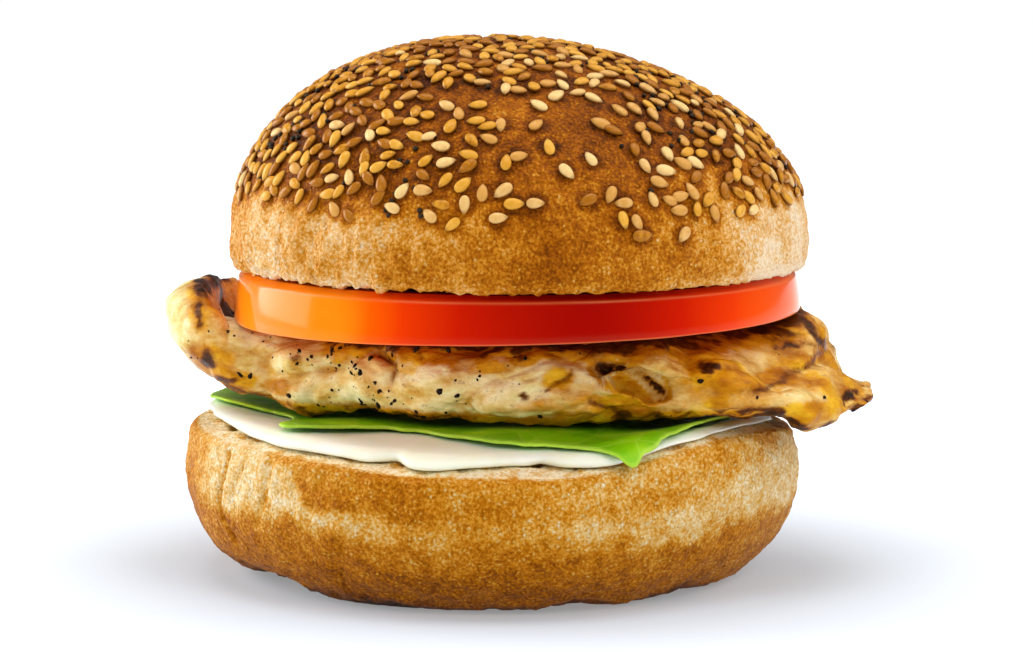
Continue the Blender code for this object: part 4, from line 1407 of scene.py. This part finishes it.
# %% Sesame seeds
# Most seeds toasted. The pale ones lie low on the front, which the oven's heat reached least.
SEED_LIFT = 0.28
TONE_DRAW = 12
tone_draw = random.Random(TONE_DRAW)
pale_spots, toasted_spots, pale_tones, toasted_tones = [], [], [], []
for entry in sesame:
    _, turn, rise, _, _ = entry
    low_front = front_share(turn) * float(smooth(0.85, 0.60, rise))
    if tone_draw.random() < 0.07 + 0.62 * low_front:
        pale_spots.append(entry)
        pale_tones.append(tone_draw.random() ** 1.3)
    else:
        toasted_spots.append(entry)
        toasted_tones.append(tone_draw.random())
sesame_form = seed_form(SEED_LENGTH, SEED_WIDTH, SEED_HEIGHT, 8, 10)
pale_piece = strewn("sesame_pale", pale_spots, sesame_form, SEED_LIFT, pale_tones, pale_finish)
toasted_piece = strewn(
    "sesame_toasted", toasted_spots, sesame_form, SEED_LIFT, toasted_tones, toasted_finish,
)

# %% Poppy seeds
# They fell in drifts, so patches of noise decide where they lie.
POPPY_COUNT = 360
POPPY_SPACING = 0.9
POPPY_TRIES = 5000
POPPY_DRAW = 33
POPPY_LIFT = 0.2
POPPY_SIZE = (0.95, 0.85, 0.8)
POPPY_PATCH = 9.0
POPPY_PATCH_RISE = 14.0


def poppy_cover(turn, rise):
    x, y = POPPY_PATCH * math.cos(turn), POPPY_PATCH * math.sin(turn)
    patch = uneven(np.array(x), np.array(y), np.array(POPPY_PATCH_RISE * rise), 3.0, 4.4)
    return float(seed_cover(turn, rise) * smooth(-0.05, 0.45, patch))


poppy = throw_seeds(random.Random(POPPY_DRAW), POPPY_TRIES, POPPY_COUNT, POPPY_SPACING, [], poppy_cover)
poppy_form = seed_form(*POPPY_SIZE, 5, 8)
poppy_tones = [tone_draw.random() for _ in poppy]
poppy_piece = strewn("poppy_seeds", poppy, poppy_form, POPPY_LIFT, poppy_tones, poppy_finish)
for piece in (pale_piece, toasted_piece, poppy_piece):
    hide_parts("bun_crown")
    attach(piece, "root")

# %% [markdown]
# ## Ground pepper
#
# Coarse pepper clings to the moist meat. Each flake is a small flattened chip, pushed a
# little into the surface, and most lie on the left half of the fillet.

# %% Pepper flakes
fillet_normals = ring_normals(fillet)
PEPPER_COUNT = 300
PEPPER_SINK = 0.05
PEPPER_SIZE = (0.95, 0.7, 0.4)
PEPPER_PLACE_DRAW = 77
PEPPER_SHAPE_DRAW = 3
# Where the grinder dropped most, as (x, height, radius) in mm on the front.
PEPPER_CLUSTERS = (
    (-35.0, 41.6, 1.8), (-22.6, 39.2, 2.2), (-30.5, 37.2, 1.8), (-44.0, 42.0, 1.8),
    (-24.5, 35.0, 2.0), (-16.0, 34.0, 2.5),
)


def pepper_spots(count):
    """Random points of the fillet, most on its left half and in the clusters."""
    draw = random.Random(PEPPER_PLACE_DRAW)
    ring_count, side_count = fillet.shape[:2]
    found = []
    while len(found) < count:
        ring = draw.randrange(16, ring_count - 16)
        side = draw.randrange(side_count)
        point = fillet[ring, side]
        clustered = smooth(0.0, 0.35, uneven(*(np.array(v) for v in point), 4.5, 6.6))
        weight = (0.06 + 0.24 * smooth(14.0, -8.0, point[0])) * (0.1 + 0.9 * clustered)
        if point[1] < -8.0:
            for x, z, radius in PEPPER_CLUSTERS:
                weight += 0.35 * hill(math.hypot(point[0] - x, point[2] - z), radius)
        if draw.random() < weight:
            size = 0.35 + 1.15 * draw.random() ** 3
            found.append((point, fillet_normals[ring, side], draw.uniform(0.0, math.tau), size))
    return found


def pepper_mesh(spots, surface):
    """One mesh of chips, each a squashed seed form with its corners moved at random."""
    points, faces, _, _ = seed_form(*PEPPER_SIZE, 3, 5)
    draw = random.Random(PEPPER_SHAPE_DRAW)
    copies = []
    for place, normal, heading, size in spots:
        chip = points * size * np.array([[draw.uniform(0.75, 1.25) for _ in range(3)] for _ in points])
        copies.append(place + normal * PEPPER_SINK + chip @ laid(normal, heading, (0.3, 0.2, 0.93)))
    return joined("ground_pepper", copies, faces, surface, {})


# %% Pepper finish
# Crushed black peppercorn: a dark, dry husk with browner flecks.
HUSK_MM = 0.8
pepper_finish, tree, shader = finish("black_pepper_husk", Roughness=0.7, IOR=1.45, Specular_IOR_Level=0.15)
place = add(tree, "ShaderNodeTexCoord").outputs["Object"]
husk = add(tree, "ShaderNodeTexNoise", {"Vector": place, "Scale": 1.0 / (HUSK_MM * MM)})
flecks = add(
    tree, "ShaderNodeValToRGB", {"Fac": husk.outputs["Fac"]}, stops=[(0.4, "0e0804"), (0.6, "301a0a")],
)
tree.links.new(flecks.outputs["Color"], shader.inputs["Base Color"])
pepper_piece = pepper_mesh(pepper_spots(PEPPER_COUNT), pepper_finish)
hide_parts("chicken_fillet")
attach(pepper_piece, "root")
